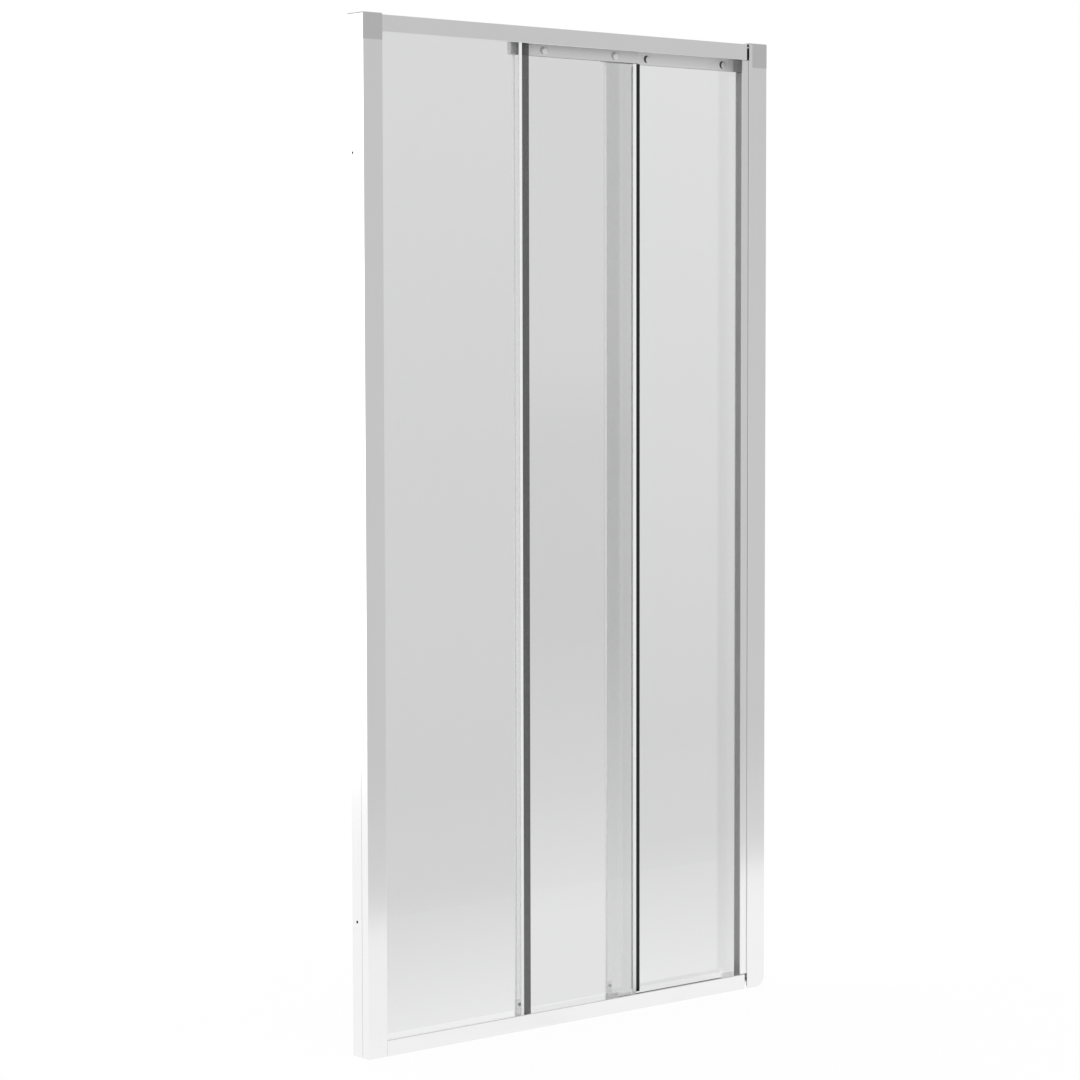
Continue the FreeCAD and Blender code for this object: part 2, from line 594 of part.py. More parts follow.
def door_pane(name, plane, left, right, bolts):
    """Sliding glass with holes for its hanger bolts and for the screw of its left shoe."""
    front = plane - HALF_GLASS - OVERCUT
    back = plane + HALF_GLASS + OVERCUT
    pane = glass_sheet(left, right, plane, GLASS_LOW, GLASS_HIGH)
    holes = [rod_y(x, BOLT_Z, BOLT_RADIUS + GLASS_HOLE_GAP, front, back) for x in bolts]
    holes.append(rod_y(left + SHOE_SCREW_INSET, SHOE_SCREW_Z, SHOE_SCREW_RADIUS + HOLE_GAP, front, back))
    save(name + "_pane", cut_by(pane, holes))


def door_bar(name, plane, left, right, glass_left, glass_right, bolts):
    """Hanger bar over the top edge of the glass, with its gasket and the bolts through both."""
    front = plane - HALF_BAR
    back = plane + HALF_BAR
    skin_front = front + BAR_SKIN / 2
    skin_back = back - BAR_SKIN / 2
    top = BAR_HIGH - BAR_SKIN / 2
    path = [(skin_front, BAR_LOW), (skin_front, top), (skin_back, top), (skin_back, BAR_LOW)]
    bar = lengthwise(wall_outline(path, BAR_SKIN), left, right)
    bar = rounded(bar, BAR_ROUND, [{"y": front, "z": BAR_LOW}, {"y": front, "z": BAR_HIGH}])
    holes = [rod_y(x, BOLT_Z, BOLT_RADIUS + HOLE_GAP, front - OVERCUT, back + OVERCUT) for x in bolts]
    save(name + "_hanger_bar", cut_by(bar, holes))

    rubber_front = plane - HALF_SEAT - BAR_RUBBER / 2
    rubber_back = plane + HALF_SEAT + BAR_RUBBER / 2
    rubber_top = GLASS_HIGH + BAR_RUBBER / 2
    path = [(rubber_front, BAR_LOW), (rubber_front, rubber_top), (rubber_back, rubber_top),
            (rubber_back, BAR_LOW)]
    gasket = lengthwise(wall_outline(path, BAR_RUBBER), glass_left, glass_right)
    save(name + "_hanger_gasket", cut_by(gasket, holes))

    grip = BAR_DEPTH + PLATE_THICK
    outline = [(0, -BOLT_HEAD), (BOLT_HEAD_RADIUS - BOLT_CHAMFER, -BOLT_HEAD),
               (BOLT_HEAD_RADIUS, BOLT_CHAMFER - BOLT_HEAD), (BOLT_HEAD_RADIUS, 0),
               (BOLT_RADIUS, 0), (BOLT_RADIUS, grip), (0, grip)]
    save(name + "_hanger_bolts", *[turned(outline, x, front, BOLT_Z) for x in bolts])


def door_carriages(name, plane, bolts):
    """Roller plates behind the hanger bar, their axles, and the rollers as nodes of their own."""
    seat = plane + HALF_BAR
    plates = []
    axles = []
    for x in bolts:
        side = PLATE_WIDTH / 2
        plate = box(x - side, x + side, seat, seat + PLATE_THICK,
                    BAR_LOW + PLATE_FOOT, ROLLER_Z + PLATE_HEAD)
        corners = [{"x": x + edge, "z": height} for edge in (-side, side)
                   for height in (BAR_LOW + PLATE_FOOT, ROLLER_Z + PLATE_HEAD)]
        plate = rounded(plate, PLATE_ROUND, corners)
        holes = [rod_y(x, BOLT_Z, BOLT_RADIUS + HOLE_GAP, seat - OVERCUT, seat + PLATE_THICK + OVERCUT),
                 rod_y(x, ROLLER_Z, AXLE_STUB_RADIUS + HOLE_GAP, seat - OVERCUT,
                       seat + PLATE_THICK + OVERCUT)]
        plates.append(cut_by(plate, holes))
        shoulder = ROLLER_BACK + SIDE_GAP - HALF_BAR
        head = ROLLER_FRONT - SIDE_GAP - HALF_BAR
        outline = [(0, head - AXLE_COLLAR), (AXLE_COLLAR_RADIUS, head - AXLE_COLLAR),
                   (AXLE_COLLAR_RADIUS, head), (AXLE_RADIUS, head), (AXLE_RADIUS, shoulder),
                   (AXLE_COLLAR_RADIUS, shoulder), (AXLE_COLLAR_RADIUS, 0),
                   (AXLE_STUB_RADIUS, 0), (AXLE_STUB_RADIUS, PLATE_THICK), (0, PLATE_THICK)]
        axles.append(turned(outline, x, seat, ROLLER_Z))
    save(name + "_roller_plates", *plates)
    save(name + "_roller_axles", *axles)

    rim = ROLLER_RADIUS - ROLLER_CHAMFER
    bed = ROLLER_RADIUS - GROOVE_DEPTH
    middle = ROLLER_WIDTH / 2
    bore = AXLE_RADIUS + BORE_GAP
    outline = [(bore, 0), (HUB_RADIUS, 0), (HUB_RADIUS, DISH_DEPTH), (RIM_INNER, DISH_DEPTH),
               (RIM_INNER, 0), (rim, 0), (ROLLER_RADIUS, ROLLER_CHAMFER),
               (ROLLER_RADIUS, middle - GROOVE_HALF), (bed, middle - GROOVE_HALF),
               (bed, middle + GROOVE_HALF), (ROLLER_RADIUS, middle + GROOVE_HALF),
               (ROLLER_RADIUS, ROLLER_WIDTH - ROLLER_CHAMFER), (rim, ROLLER_WIDTH), (bore, ROLLER_WIDTH)]
    for hand, x in zip(("left", "right"), bolts):
        save(name + "_roller_" + hand, turned(outline, x, plane + ROLLER_FRONT, ROLLER_Z))


def door_shoes(name, plane, left, right):
    """Guide shoes under the glass; a screw through the pane holds the left one by its tab."""
    outline = [(plane - SHOE_HALF, SHOE_LOW), (plane + SHOE_HALF, SHOE_LOW),
               (plane + SHOE_HALF, SILL_HEIGHT), (plane + HALF_SEAT, SILL_HEIGHT),
               (plane + HALF_SEAT, GLASS_LOW), (plane - HALF_SEAT, GLASS_LOW),
               (plane - HALF_SEAT, SILL_HEIGHT), (plane - SHOE_HALF, SILL_HEIGHT)]
    plain_shoe = lengthwise(outline, right - SHOE_LENGTH, right)
    tab = box(left, left + SHOE_TAB, plane + HALF_SEAT, plane + SHOE_HALF, SHOE_LOW, SHOE_TAB_HIGH)
    screw_x = left + SHOE_SCREW_INSET
    hole = rod_y(screw_x, SHOE_SCREW_Z, SHOE_SCREW_RADIUS + HOLE_GAP,
                 plane, plane + SHOE_HALF + OVERCUT)
    tab_shoe = joined([lengthwise(outline, left, left + SHOE_LENGTH), tab]).cut(hole)
    save(name + "_guide_shoes", tab_shoe, plain_shoe)
    grip = HALF_SEAT + SHOE_HALF
    outline = [(0, -FLAT_HEAD), (SHOE_SCREW_HEAD_RADIUS, -FLAT_HEAD), (SHOE_SCREW_HEAD_RADIUS, 0),
               (SHOE_SCREW_RADIUS, 0), (SHOE_SCREW_RADIUS, grip), (0, grip)]
    save(name + "_guide_screw", turned(outline, screw_x, plane - HALF_SEAT, SHOE_SCREW_Z))


def bar_block(plane, x0, x1):
    """A block with the outline of the hanger bar."""
    return box(x0, x1, plane - HALF_BAR, plane + HALF_BAR, BAR_LOW, BAR_HIGH)


# Places along the two doors
MIDDLE_LEFT = FIXED_EDGE - MIDDLE_LAP
MIDDLE_RIGHT = MIDDLE_EDGE - MIDDLE_PROFILE_SKIN
MIDDLE_PROFILE_LEFT = MIDDLE_EDGE - MIDDLE_PROFILE_FACE
MIDDLE_BOLTS = [MIDDLE_LEFT + MIDDLE_BOLT_INSETS[0], MIDDLE_EDGE - MIDDLE_BOLT_INSETS[1]]
MIDDLE_TRAVEL = MIDDLE_PROFILE_LEFT - FIXED_SEAL_EDGE - TRAVEL_GAP
LEADING_LEFT = MIDDLE_EDGE - LEADING_LAP
CLOSING_LEFT = CHANNEL_INNER - CLOSING_SHOW
CLOSING_RIGHT = POCKET_END - STRIKE_THICK - SLIP - CLOSING_SEAL
LEADING_RIGHT = CLOSING_RIGHT - CLOSING_SKIN
LEADING_BOLTS = [LEADING_LEFT + LEADING_BOLT_INSETS[0], CLOSING_LEFT - LEADING_BOLT_INSETS[1]]
LEADING_TRAVEL = LEADING_LEFT - BAR_OVERHANG - JAMB_INNER - LEADING_END_GAP


def middle_door():
    """Middle door, with a bright profile and a black seal on its free edge."""
    bar_left = MIDDLE_LEFT - BAR_OVERHANG + END_CAP
    bar_right = MIDDLE_EDGE + BAR_PAST_EDGE - END_CAP
    door_pane("middle", Y_MIDDLE, MIDDLE_LEFT, MIDDLE_RIGHT, MIDDLE_BOLTS)
    door_bar("middle", Y_MIDDLE, bar_left, bar_right, MIDDLE_LEFT, MIDDLE_RIGHT, MIDDLE_BOLTS)
    door_carriages("middle", Y_MIDDLE, MIDDLE_BOLTS)
    door_shoes("middle", Y_MIDDLE, MIDDLE_LEFT, MIDDLE_PROFILE_LEFT - SHOE_INSET)
    save("middle_bar_end_caps", bar_block(Y_MIDDLE, bar_left - END_CAP, bar_left),
         bar_block(Y_MIDDLE, bar_right, bar_right + END_CAP))
    profile = edge_channel(MIDDLE_PROFILE_LEFT, MIDDLE_EDGE - MIDDLE_PROFILE_BACK, MIDDLE_EDGE, Y_MIDDLE,
                           MIDDLE_PROFILE_SKIN, GLASS_LOW, PROFILE_HIGH)
    save("middle_edge_profile", profile)
    seal_half = HALF_SEAT + MIDDLE_PROFILE_SKIN - SLIP
    seal_right = MIDDLE_EDGE + MIDDLE_SEAL_WIDTH
    body = box(MIDDLE_EDGE, seal_right, Y_MIDDLE - seal_half, Y_MIDDLE + seal_half,
               SILL_HEIGHT, PROFILE_HIGH)
    body = rounded(body, SEAL_ROUND, [{"x": seal_right, "y": Y_MIDDLE - seal_half}])
    fin_end = Y_LEADING - HALF_SEAT - CLOSING_SKIN - FIN_GAP
    fin = box(MIDDLE_EDGE, MIDDLE_EDGE + FIN_THICK, Y_MIDDLE, fin_end, FIN_LOW, FIN_HIGH)
    save("middle_edge_seal", joined([body, fin]))


def leading_door():
    """Leading door, with a bumper on its bar and a grey closing profile that enters the right jamb."""
    bar_left = LEADING_LEFT - BAR_OVERHANG + END_CAP
    bar_right = CLOSING_LEFT - BUMPER_LAP
    door_pane("leading", Y_LEADING, LEADING_LEFT, LEADING_RIGHT, LEADING_BOLTS)
    door_bar("leading", Y_LEADING, bar_left, bar_right, LEADING_LEFT, bar_right, LEADING_BOLTS)
    door_carriages("leading", Y_LEADING, LEADING_BOLTS)
    door_shoes("leading", Y_LEADING, LEADING_LEFT, CLOSING_LEFT - SHOE_INSET)
    save("leading_bar_end_cap", bar_block(Y_LEADING, bar_left - END_CAP, bar_left))
    slot = box(bar_right - OVERCUT, CLOSING_RIGHT, Y_LEADING - HALF_SEAT, Y_LEADING + HALF_SEAT,
               BAR_LOW - OVERCUT, GLASS_HIGH)
    save("leading_end_bumper", bar_block(Y_LEADING, bar_right, CLOSING_RIGHT).cut(slot))
    profile = edge_channel(CLOSING_LEFT, CLOSING_RIGHT - CLOSING_PROFILE_BACK, CLOSING_RIGHT, Y_LEADING,
                           CLOSING_SKIN, GLASS_LOW, PROFILE_HIGH)
    save("leading_closing_profile", profile)
    save("leading_closing_seal", box(CLOSING_RIGHT, CLOSING_RIGHT + CLOSING_SEAL, Y_LEADING - HALF_GLASS,
                                     Y_LEADING + HALF_GLASS, GLASS_LOW + CLOSING_SEAL_RISE, PROFILE_HIGH))


left_side()
right_side()
head_rail()
sill_rail()
track_stops()
fixed_pane()
middle_door()
leading_door()
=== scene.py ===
"""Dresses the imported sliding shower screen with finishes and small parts, and sets up its studio.

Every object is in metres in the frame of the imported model: X along the width, Y from the
outside to the inside of the shower and Z up.
"""
from __future__ import annotations

import logging
import math
from collections.abc import Callable
from dataclasses import dataclass, field
from enum import Enum

import bmesh
import bpy
from mathutils import Matrix, Vector

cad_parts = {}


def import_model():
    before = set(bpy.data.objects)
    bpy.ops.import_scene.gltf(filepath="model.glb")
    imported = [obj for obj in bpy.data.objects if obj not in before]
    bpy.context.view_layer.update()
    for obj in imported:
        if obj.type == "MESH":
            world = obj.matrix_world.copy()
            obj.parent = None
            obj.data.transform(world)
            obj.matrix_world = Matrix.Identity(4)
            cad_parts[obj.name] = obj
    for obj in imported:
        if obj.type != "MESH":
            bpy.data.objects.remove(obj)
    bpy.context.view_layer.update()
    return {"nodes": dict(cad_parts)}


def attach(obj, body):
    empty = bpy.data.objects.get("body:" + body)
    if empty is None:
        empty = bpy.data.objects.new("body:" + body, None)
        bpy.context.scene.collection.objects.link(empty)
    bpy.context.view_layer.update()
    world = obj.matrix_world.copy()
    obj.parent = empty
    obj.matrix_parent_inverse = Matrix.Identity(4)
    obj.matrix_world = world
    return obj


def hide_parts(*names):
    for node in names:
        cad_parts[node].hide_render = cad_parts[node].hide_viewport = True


LOG = logging.getLogger("shower_screen")
MM = 0.001

Colour = tuple[float, float, float]
Place = tuple[float, float, float]
Spot = tuple[float, float]
Outline = tuple[Spot, ...]
FaceTest = Callable[[bmesh.types.BMFace], bool]


def spread(value: float, share: float) -> tuple[float, float]:
    """Give the values that lie a share below and above a value, at most one."""
    return value * (1.0 - share), min(value * (1.0 + share), 1.0)


def shades(colour: Colour, share: float) -> tuple[Colour, Colour]:
    """Give a darker and a lighter shade of a colour, each a share away from it."""
    ends = [spread(part, share) for part in colour]
    return tuple(low for low, _ in ends), tuple(high for _, high in ends)


def bare_material(name: str) -> bpy.types.Material:
    """Make a material whose node tree is empty.

    Args:
        name: Name of the material.

    Returns:
        The new material.
    """
    material = bpy.data.materials.new(name)
    material.use_nodes = True
    material.node_tree.nodes.clear()
    return material


class Grain(Enum):
    """How the fine lines of a surface run, as the stretch of their pattern along X, Y and Z."""

    UPRIGHT = (1.0, 1.0, 0.02)
    LENGTHWISE = (0.02, 1.0, 1.0)
    EVEN = (1.0, 1.0, 1.0)


class NodeSheet:
    """A material's node tree, with short calls that add and wire its nodes."""

    def __init__(self, name: str) -> None:
        """Make a material with one Principled shader.

        Args:
            name: Name of the material.
        """
        self.material = bpy.data.materials.new(name)
        self.material.use_nodes = True
        self.tree = self.material.node_tree
        self.shader = self.tree.nodes["Principled BSDF"]

    def add(self, kind: str) -> bpy.types.Node:
        """Add one node of a kind and give it back."""
        return self.tree.nodes.new(kind)

    def wire(self, source: bpy.types.NodeSocket, target: bpy.types.NodeSocket) -> None:
        """Join an output to an input."""
        self.tree.links.new(source, target)

    def noise(self, grain: Grain, scale: float, detail: float) -> bpy.types.NodeSocket:
        """Add a noise pattern that sits still on the piece.

        Args:
            grain: Direction that the pattern is drawn out in.
            scale: Size of the pattern, as waves per metre.
            detail: How many finer layers it has.

        Returns:
            The output that carries the pattern.
        """
        place = self.add("ShaderNodeTexCoord")
        stretch = self.add("ShaderNodeMapping")
        stretch.inputs["Scale"].default_value = grain.value
        noise = self.add("ShaderNodeTexNoise")
        noise.inputs["Scale"].default_value = scale
        noise.inputs["Detail"].default_value = detail
        self.wire(place.outputs["Object"], stretch.inputs["Vector"])
        self.wire(stretch.outputs["Vector"], noise.inputs["Vector"])
        return noise.outputs["Fac"]

    def vary(self, pattern: bpy.types.NodeSocket, socket: str, low: float, high: float) -> None:
        """Let a pattern move one value of the shader.

        Args:
            pattern: An output that runs from 0 to 1.
            socket: Name of the shader's input.
            low: Value where the pattern is lowest.
            high: Value where the pattern is highest.
        """
        span = self.add("ShaderNodeMapRange")
        span.inputs["To Min"].default_value = low
        span.inputs["To Max"].default_value = high
        self.wire(pattern, span.inputs["Value"])
        self.wire(span.outputs["Result"], self.shader.inputs[socket])

    def tint(self, pattern: bpy.types.NodeSocket, low: Colour, high: Colour) -> None:
        """Let a pattern move the colour between two shades.

        Args:
            pattern: An output that runs from 0 to 1.
            low: Shade where the pattern is lowest.
            high: Shade where the pattern is highest.
        """
        ramp = self.add("ShaderNodeValToRGB")
        ramp.color_ramp.elements[0].color = (*low, 1.0)
        ramp.color_ramp.elements[1].color = (*high, 1.0)
        self.wire(pattern, ramp.inputs["Fac"])
        self.wire(ramp.outputs["Color"], self.shader.inputs["Base Color"])

    def bump(self, pattern: bpy.types.NodeSocket, height: float, strength: float) -> None:
        """Let a pattern roughen the surface.

        Args:
            pattern: An output that runs from 0 to 1.
            height: Height of the pattern in metres.
            strength: Share of that height that shows.
        """
        bump = self.add("ShaderNodeBump")
        bump.inputs["Distance"].default_value = height
        bump.inputs["Strength"].default_value = strength
        self.wire(pattern, bump.inputs["Height"])
        self.wire(bump.outputs["Normal"], self.shader.inputs["Normal"])


@dataclass(frozen=True)
class DrawnMetal:
    """Extruded or turned metal, with faint lines along the way it was drawn."""

    name: str
    grain: Grain
    shade: float
    roughness: float
    mirror: float = 1.0
    line_scale: float = 900.0
    line_detail: float = 3.0
    line_height: float = 0.00002
    line_strength: float = 0.12
    cloud_scale: float = 9.0
    cloud_detail: float = 2.0
    tone_spread: float = 0.015
    roughness_spread: float = 0.15

    def material(self) -> bpy.types.Material:
        """Build the material of this metal.

        Returns:
            The new material.
        """
        sheet = NodeSheet(self.name)
        sheet.shader.inputs["Metallic"].default_value = self.mirror
        lines = sheet.noise(self.grain, self.line_scale, self.line_detail)
        clouds = sheet.noise(Grain.EVEN, self.cloud_scale, self.cloud_detail)
        sheet.tint(clouds, *shades((self.shade,) * 3, self.tone_spread))
        sheet.vary(lines, "Roughness", *spread(self.roughness, self.roughness_spread))
        sheet.bump(lines, self.line_height, self.line_strength)
        return sheet.material


@dataclass(frozen=True)
class ClearGlass:
    """Toughened clear glass with ground edges, very slightly wavy as float glass is."""

    name: str
    tint: Colour
    bend: float = 1.5
    wave_scale: float = 3.0
    wave_detail: float = 1.0
    wave_height: float = 0.0001
    wave_strength: float = 0.04
    edge_start: float = 0.95
    edge_full: float = 0.80
    edge_tint: Colour = (0.92, 0.925, 0.92)
    face_roughness: float = 0.0
    edge_roughness: float = 0.75
    face_clear: float = 1.0
    edge_clear: float = 0.0

    def material(self) -> bpy.types.Material:
        """Build the material of this glass.

        Returns:
            The new material.
        """
        sheet = NodeSheet(self.name)
        sheet.shader.inputs["IOR"].default_value = self.bend
        edge = self.edge_share(sheet)
        sheet.tint(edge, self.tint, self.edge_tint)
        sheet.vary(edge, "Roughness", self.face_roughness, self.edge_roughness)
        sheet.vary(edge, "Transmission Weight", self.face_clear, self.edge_clear)
        waves = sheet.noise(Grain.EVEN, self.wave_scale, self.wave_detail)
        sheet.bump(waves, self.wave_height, self.wave_strength)
        return sheet.material

    def edge_share(self, sheet: NodeSheet) -> bpy.types.NodeSocket:
        """Tell the ground edges, which face along the screen, from the polished faces.

        Args:
            sheet: The node tree to add to.

        Returns:
            An output that is 1 on the edges and 0 on the faces.
        """
        facing = sheet.add("ShaderNodeNewGeometry")
        split = sheet.add("ShaderNodeSeparateXYZ")
        size = sheet.add("ShaderNodeMath")
        size.operation = "ABSOLUTE"
        share = sheet.add("ShaderNodeMapRange")
        share.inputs["From Min"].default_value = self.edge_start
        share.inputs["From Max"].default_value = self.edge_full
        sheet.wire(facing.outputs["True Normal"], split.inputs["Vector"])
        sheet.wire(split.outputs["Y"], size.inputs[0])
        sheet.wire(size.outputs["Value"], share.inputs["Value"])
        return share.outputs["Result"]


@dataclass(frozen=True)
class SheerPlastic:
    """Soft plastic that lets part of what is behind it through."""

    name: str
    shade: float
    cover: float
    roughness: float = 0.22
    ripple_scale: float = 500.0
    ripple_detail: float = 2.0
    ripple_height: float = 0.0001
    ripple_strength: float = 0.1
    tone_spread: float = 0.1
    roughness_spread: float = 0.2

    def material(self) -> bpy.types.Material:
        """Build the material of this plastic.

        Returns:
            The new material.
        """
        sheet = NodeSheet(self.name)
        sheet.shader.inputs["Alpha"].default_value = self.cover
        ripple = sheet.noise(Grain.UPRIGHT, self.ripple_scale, self.ripple_detail)
        sheet.tint(ripple, *shades((self.shade,) * 3, self.tone_spread))
        sheet.vary(ripple, "Roughness", *spread(self.roughness, self.roughness_spread))
        sheet.bump(ripple, self.ripple_height, self.ripple_strength)
        return sheet.material


@dataclass(frozen=True)
class MouldedPolymer:
    """Moulded or extruded plastic and rubber with a fine skin."""

    name: str
    colour: Colour
    roughness: float
    skin_scale: float = 700.0
    skin_detail: float = 4.0
    skin_height: float = 0.00005
    skin_strength: float = 0.2
    tone_spread: float = 0.06
    roughness_spread: float = 0.15

    def material(self) -> bpy.types.Material:
        """Build the material of this polymer.

        Returns:
            The new material.
        """
        sheet = NodeSheet(self.name)
        skin = sheet.noise(Grain.EVEN, self.skin_scale, self.skin_detail)
        sheet.tint(skin, *shades(self.colour, self.tone_spread))
        sheet.vary(skin, "Roughness", *spread(self.roughness, self.roughness_spread))
        sheet.bump(skin, self.skin_height, self.skin_strength)
        return sheet.material


@dataclass(frozen=True)
class FinnedSeal:
    """Rubber seal with a paler soft fin on its back, which starts at a place along Y in millimetres."""

    name: str
    body_shade: float
    fin_shade: float
    fin_from: float
    roughness: float = 0.34
    shine: float = 0.2
    blend_length: float = 0.3
    skin_scale: float = 600.0
    skin_detail: float = 3.0
    skin_height: float = 0.00005
    skin_strength: float = 0.2
    roughness_spread: float = 0.15

    def material(self) -> bpy.types.Material:
        """Build the material of this seal.

        Returns:
            The new material.
        """
        sheet = NodeSheet(self.name)
        sheet.shader.inputs["Specular IOR Level"].default_value = self.shine
        sheet.tint(self.fin_share(sheet), (self.body_shade,) * 3, (self.fin_shade,) * 3)
        skin = sheet.noise(Grain.UPRIGHT, self.skin_scale, self.skin_detail)
        sheet.vary(skin, "Roughness", *spread(self.roughness, self.roughness_spread))
        sheet.bump(skin, self.skin_height, self.skin_strength)
        return sheet.material

    def fin_share(self, sheet: NodeSheet) -> bpy.types.NodeSocket:
        """Tell the fin from the body by its place along Y.

        Args:
            sheet: The node tree to add to.

        Returns:
            An output that is 0 on the body and 1 on the fin.
        """
        place = sheet.add("ShaderNodeTexCoord")
        split = sheet.add("ShaderNodeSeparateXYZ")
        share = sheet.add("ShaderNodeMapRange")
        share.inputs["From Min"].default_value = self.fin_from * MM
        share.inputs["From Max"].default_value = (self.fin_from + self.blend_length) * MM
        sheet.wire(place.outputs["Object"], split.inputs["Vector"])
        sheet.wire(split.outputs["Y"], share.inputs["Value"])
        return share.outputs["Result"]


FRAME_UPRIGHT = DrawnMetal("bright_aluminium_upright", Grain.UPRIGHT, shade=0.90, roughness=0.16)
FRAME_LENGTHWISE = DrawnMetal("bright_aluminium_lengthwise", Grain.LENGTHWISE, shade=0.90, roughness=0.16)
# Both hanger bars are one satin aluminium: the middle bar is painted darker as painted shade, and the
# leading bar lighter as painted light.
MIDDLE_BAR_PAINTED_DARKER = DrawnMetal("satin_bar_aluminium", Grain.LENGTHWISE, shade=0.60, roughness=0.50,
                              mirror=0.1)
LEADING_BAR_PAINTED_LIGHTER = DrawnMetal("bar_aluminium_painted_lighter", Grain.LENGTHWISE, shade=0.71, roughness=0.50,
                               mirror=0.1)
CLOSING_METAL = DrawnMetal("grey_closing_profile", Grain.UPRIGHT, shade=0.56, roughness=0.34, mirror=0.7)
STEEL = DrawnMetal("plain_steel", Grain.EVEN, shade=0.55, roughness=0.28)
BOLT_CHROME = DrawnMetal("satin_bolt_chrome", Grain.EVEN, shade=0.80, roughness=0.38, mirror=0.6)
PANE_GLASS = ClearGlass("clear_toughened_glass", tint=(0.86, 0.864, 0.862))
DARK_SEAL = SheerPlastic("smoky_dark_seal", shade=0.035, cover=0.66)
SHOE_NYLON = SheerPlastic("milky_shoe_nylon", shade=0.88, cover=0.12, roughness=0.35)
BLACK_SEAL = FinnedSeal("black_seal_with_pale_fin", body_shade=0.010, fin_shade=0.88, fin_from=2.2)
BLACK_RUBBER = MouldedPolymer("black_rubber", (0.010, 0.010, 0.011), roughness=0.34)
# Near-black rings that paint the shade crescent beside the leading door's bolt heads.
BLACK_SHADE_RING = MouldedPolymer("black_painted_shade_ring", (0.030, 0.030, 0.031), roughness=0.5)
GASKET_RUBBER = MouldedPolymer("grey_gasket_rubber", (0.36, 0.365, 0.37), roughness=0.5)
PALE_GASKET = MouldedPolymer("pale_glazing_rubber", (0.70, 0.705, 0.71), roughness=0.5)
# The edge profiles are coloured near white, which paints the bright highlight along each glass edge.
EDGE_PROFILE_PAINTED_HIGHLIGHT = MouldedPolymer("edge_profile_painted_highlight", (0.84, 0.845, 0.85), roughness=0.3)
BUMPER_PLASTIC = MouldedPolymer("dark_bumper_plastic", (0.42, 0.42, 0.425), roughness=0.4)
NYLON = MouldedPolymer("white_nylon", (0.80, 0.80, 0.78), roughness=0.45)
BAR_CAP_PLASTIC = MouldedPolymer("pale_bar_cap_plastic", (0.68, 0.68, 0.685), roughness=0.42)
CAP_PLASTIC = MouldedPolymer("grey_cap_plastic", (0.41, 0.41, 0.411), roughness=0.42)

Finish = DrawnMetal | ClearGlass | SheerPlastic | MouldedPolymer | FinnedSeal


class FinishRack:
    """Keeps one Blender material for each finish."""

    def __init__(self) -> None:
        """Start with no materials."""
        self.made: dict[str, bpy.types.Material] = {}

    def give(self, piece: bpy.types.Object, finish: Finish) -> None:
        """Put one finish on a whole piece.

        Args:
            piece: The object to dress.
            finish: The finish that it gets.
        """
        if finish.name not in self.made:
            self.made[finish.name] = finish.material()
        piece.data.materials.clear()
        piece.data.materials.append(self.made[finish.name])
        LOG.info("%s: %s", piece.name, finish.name)


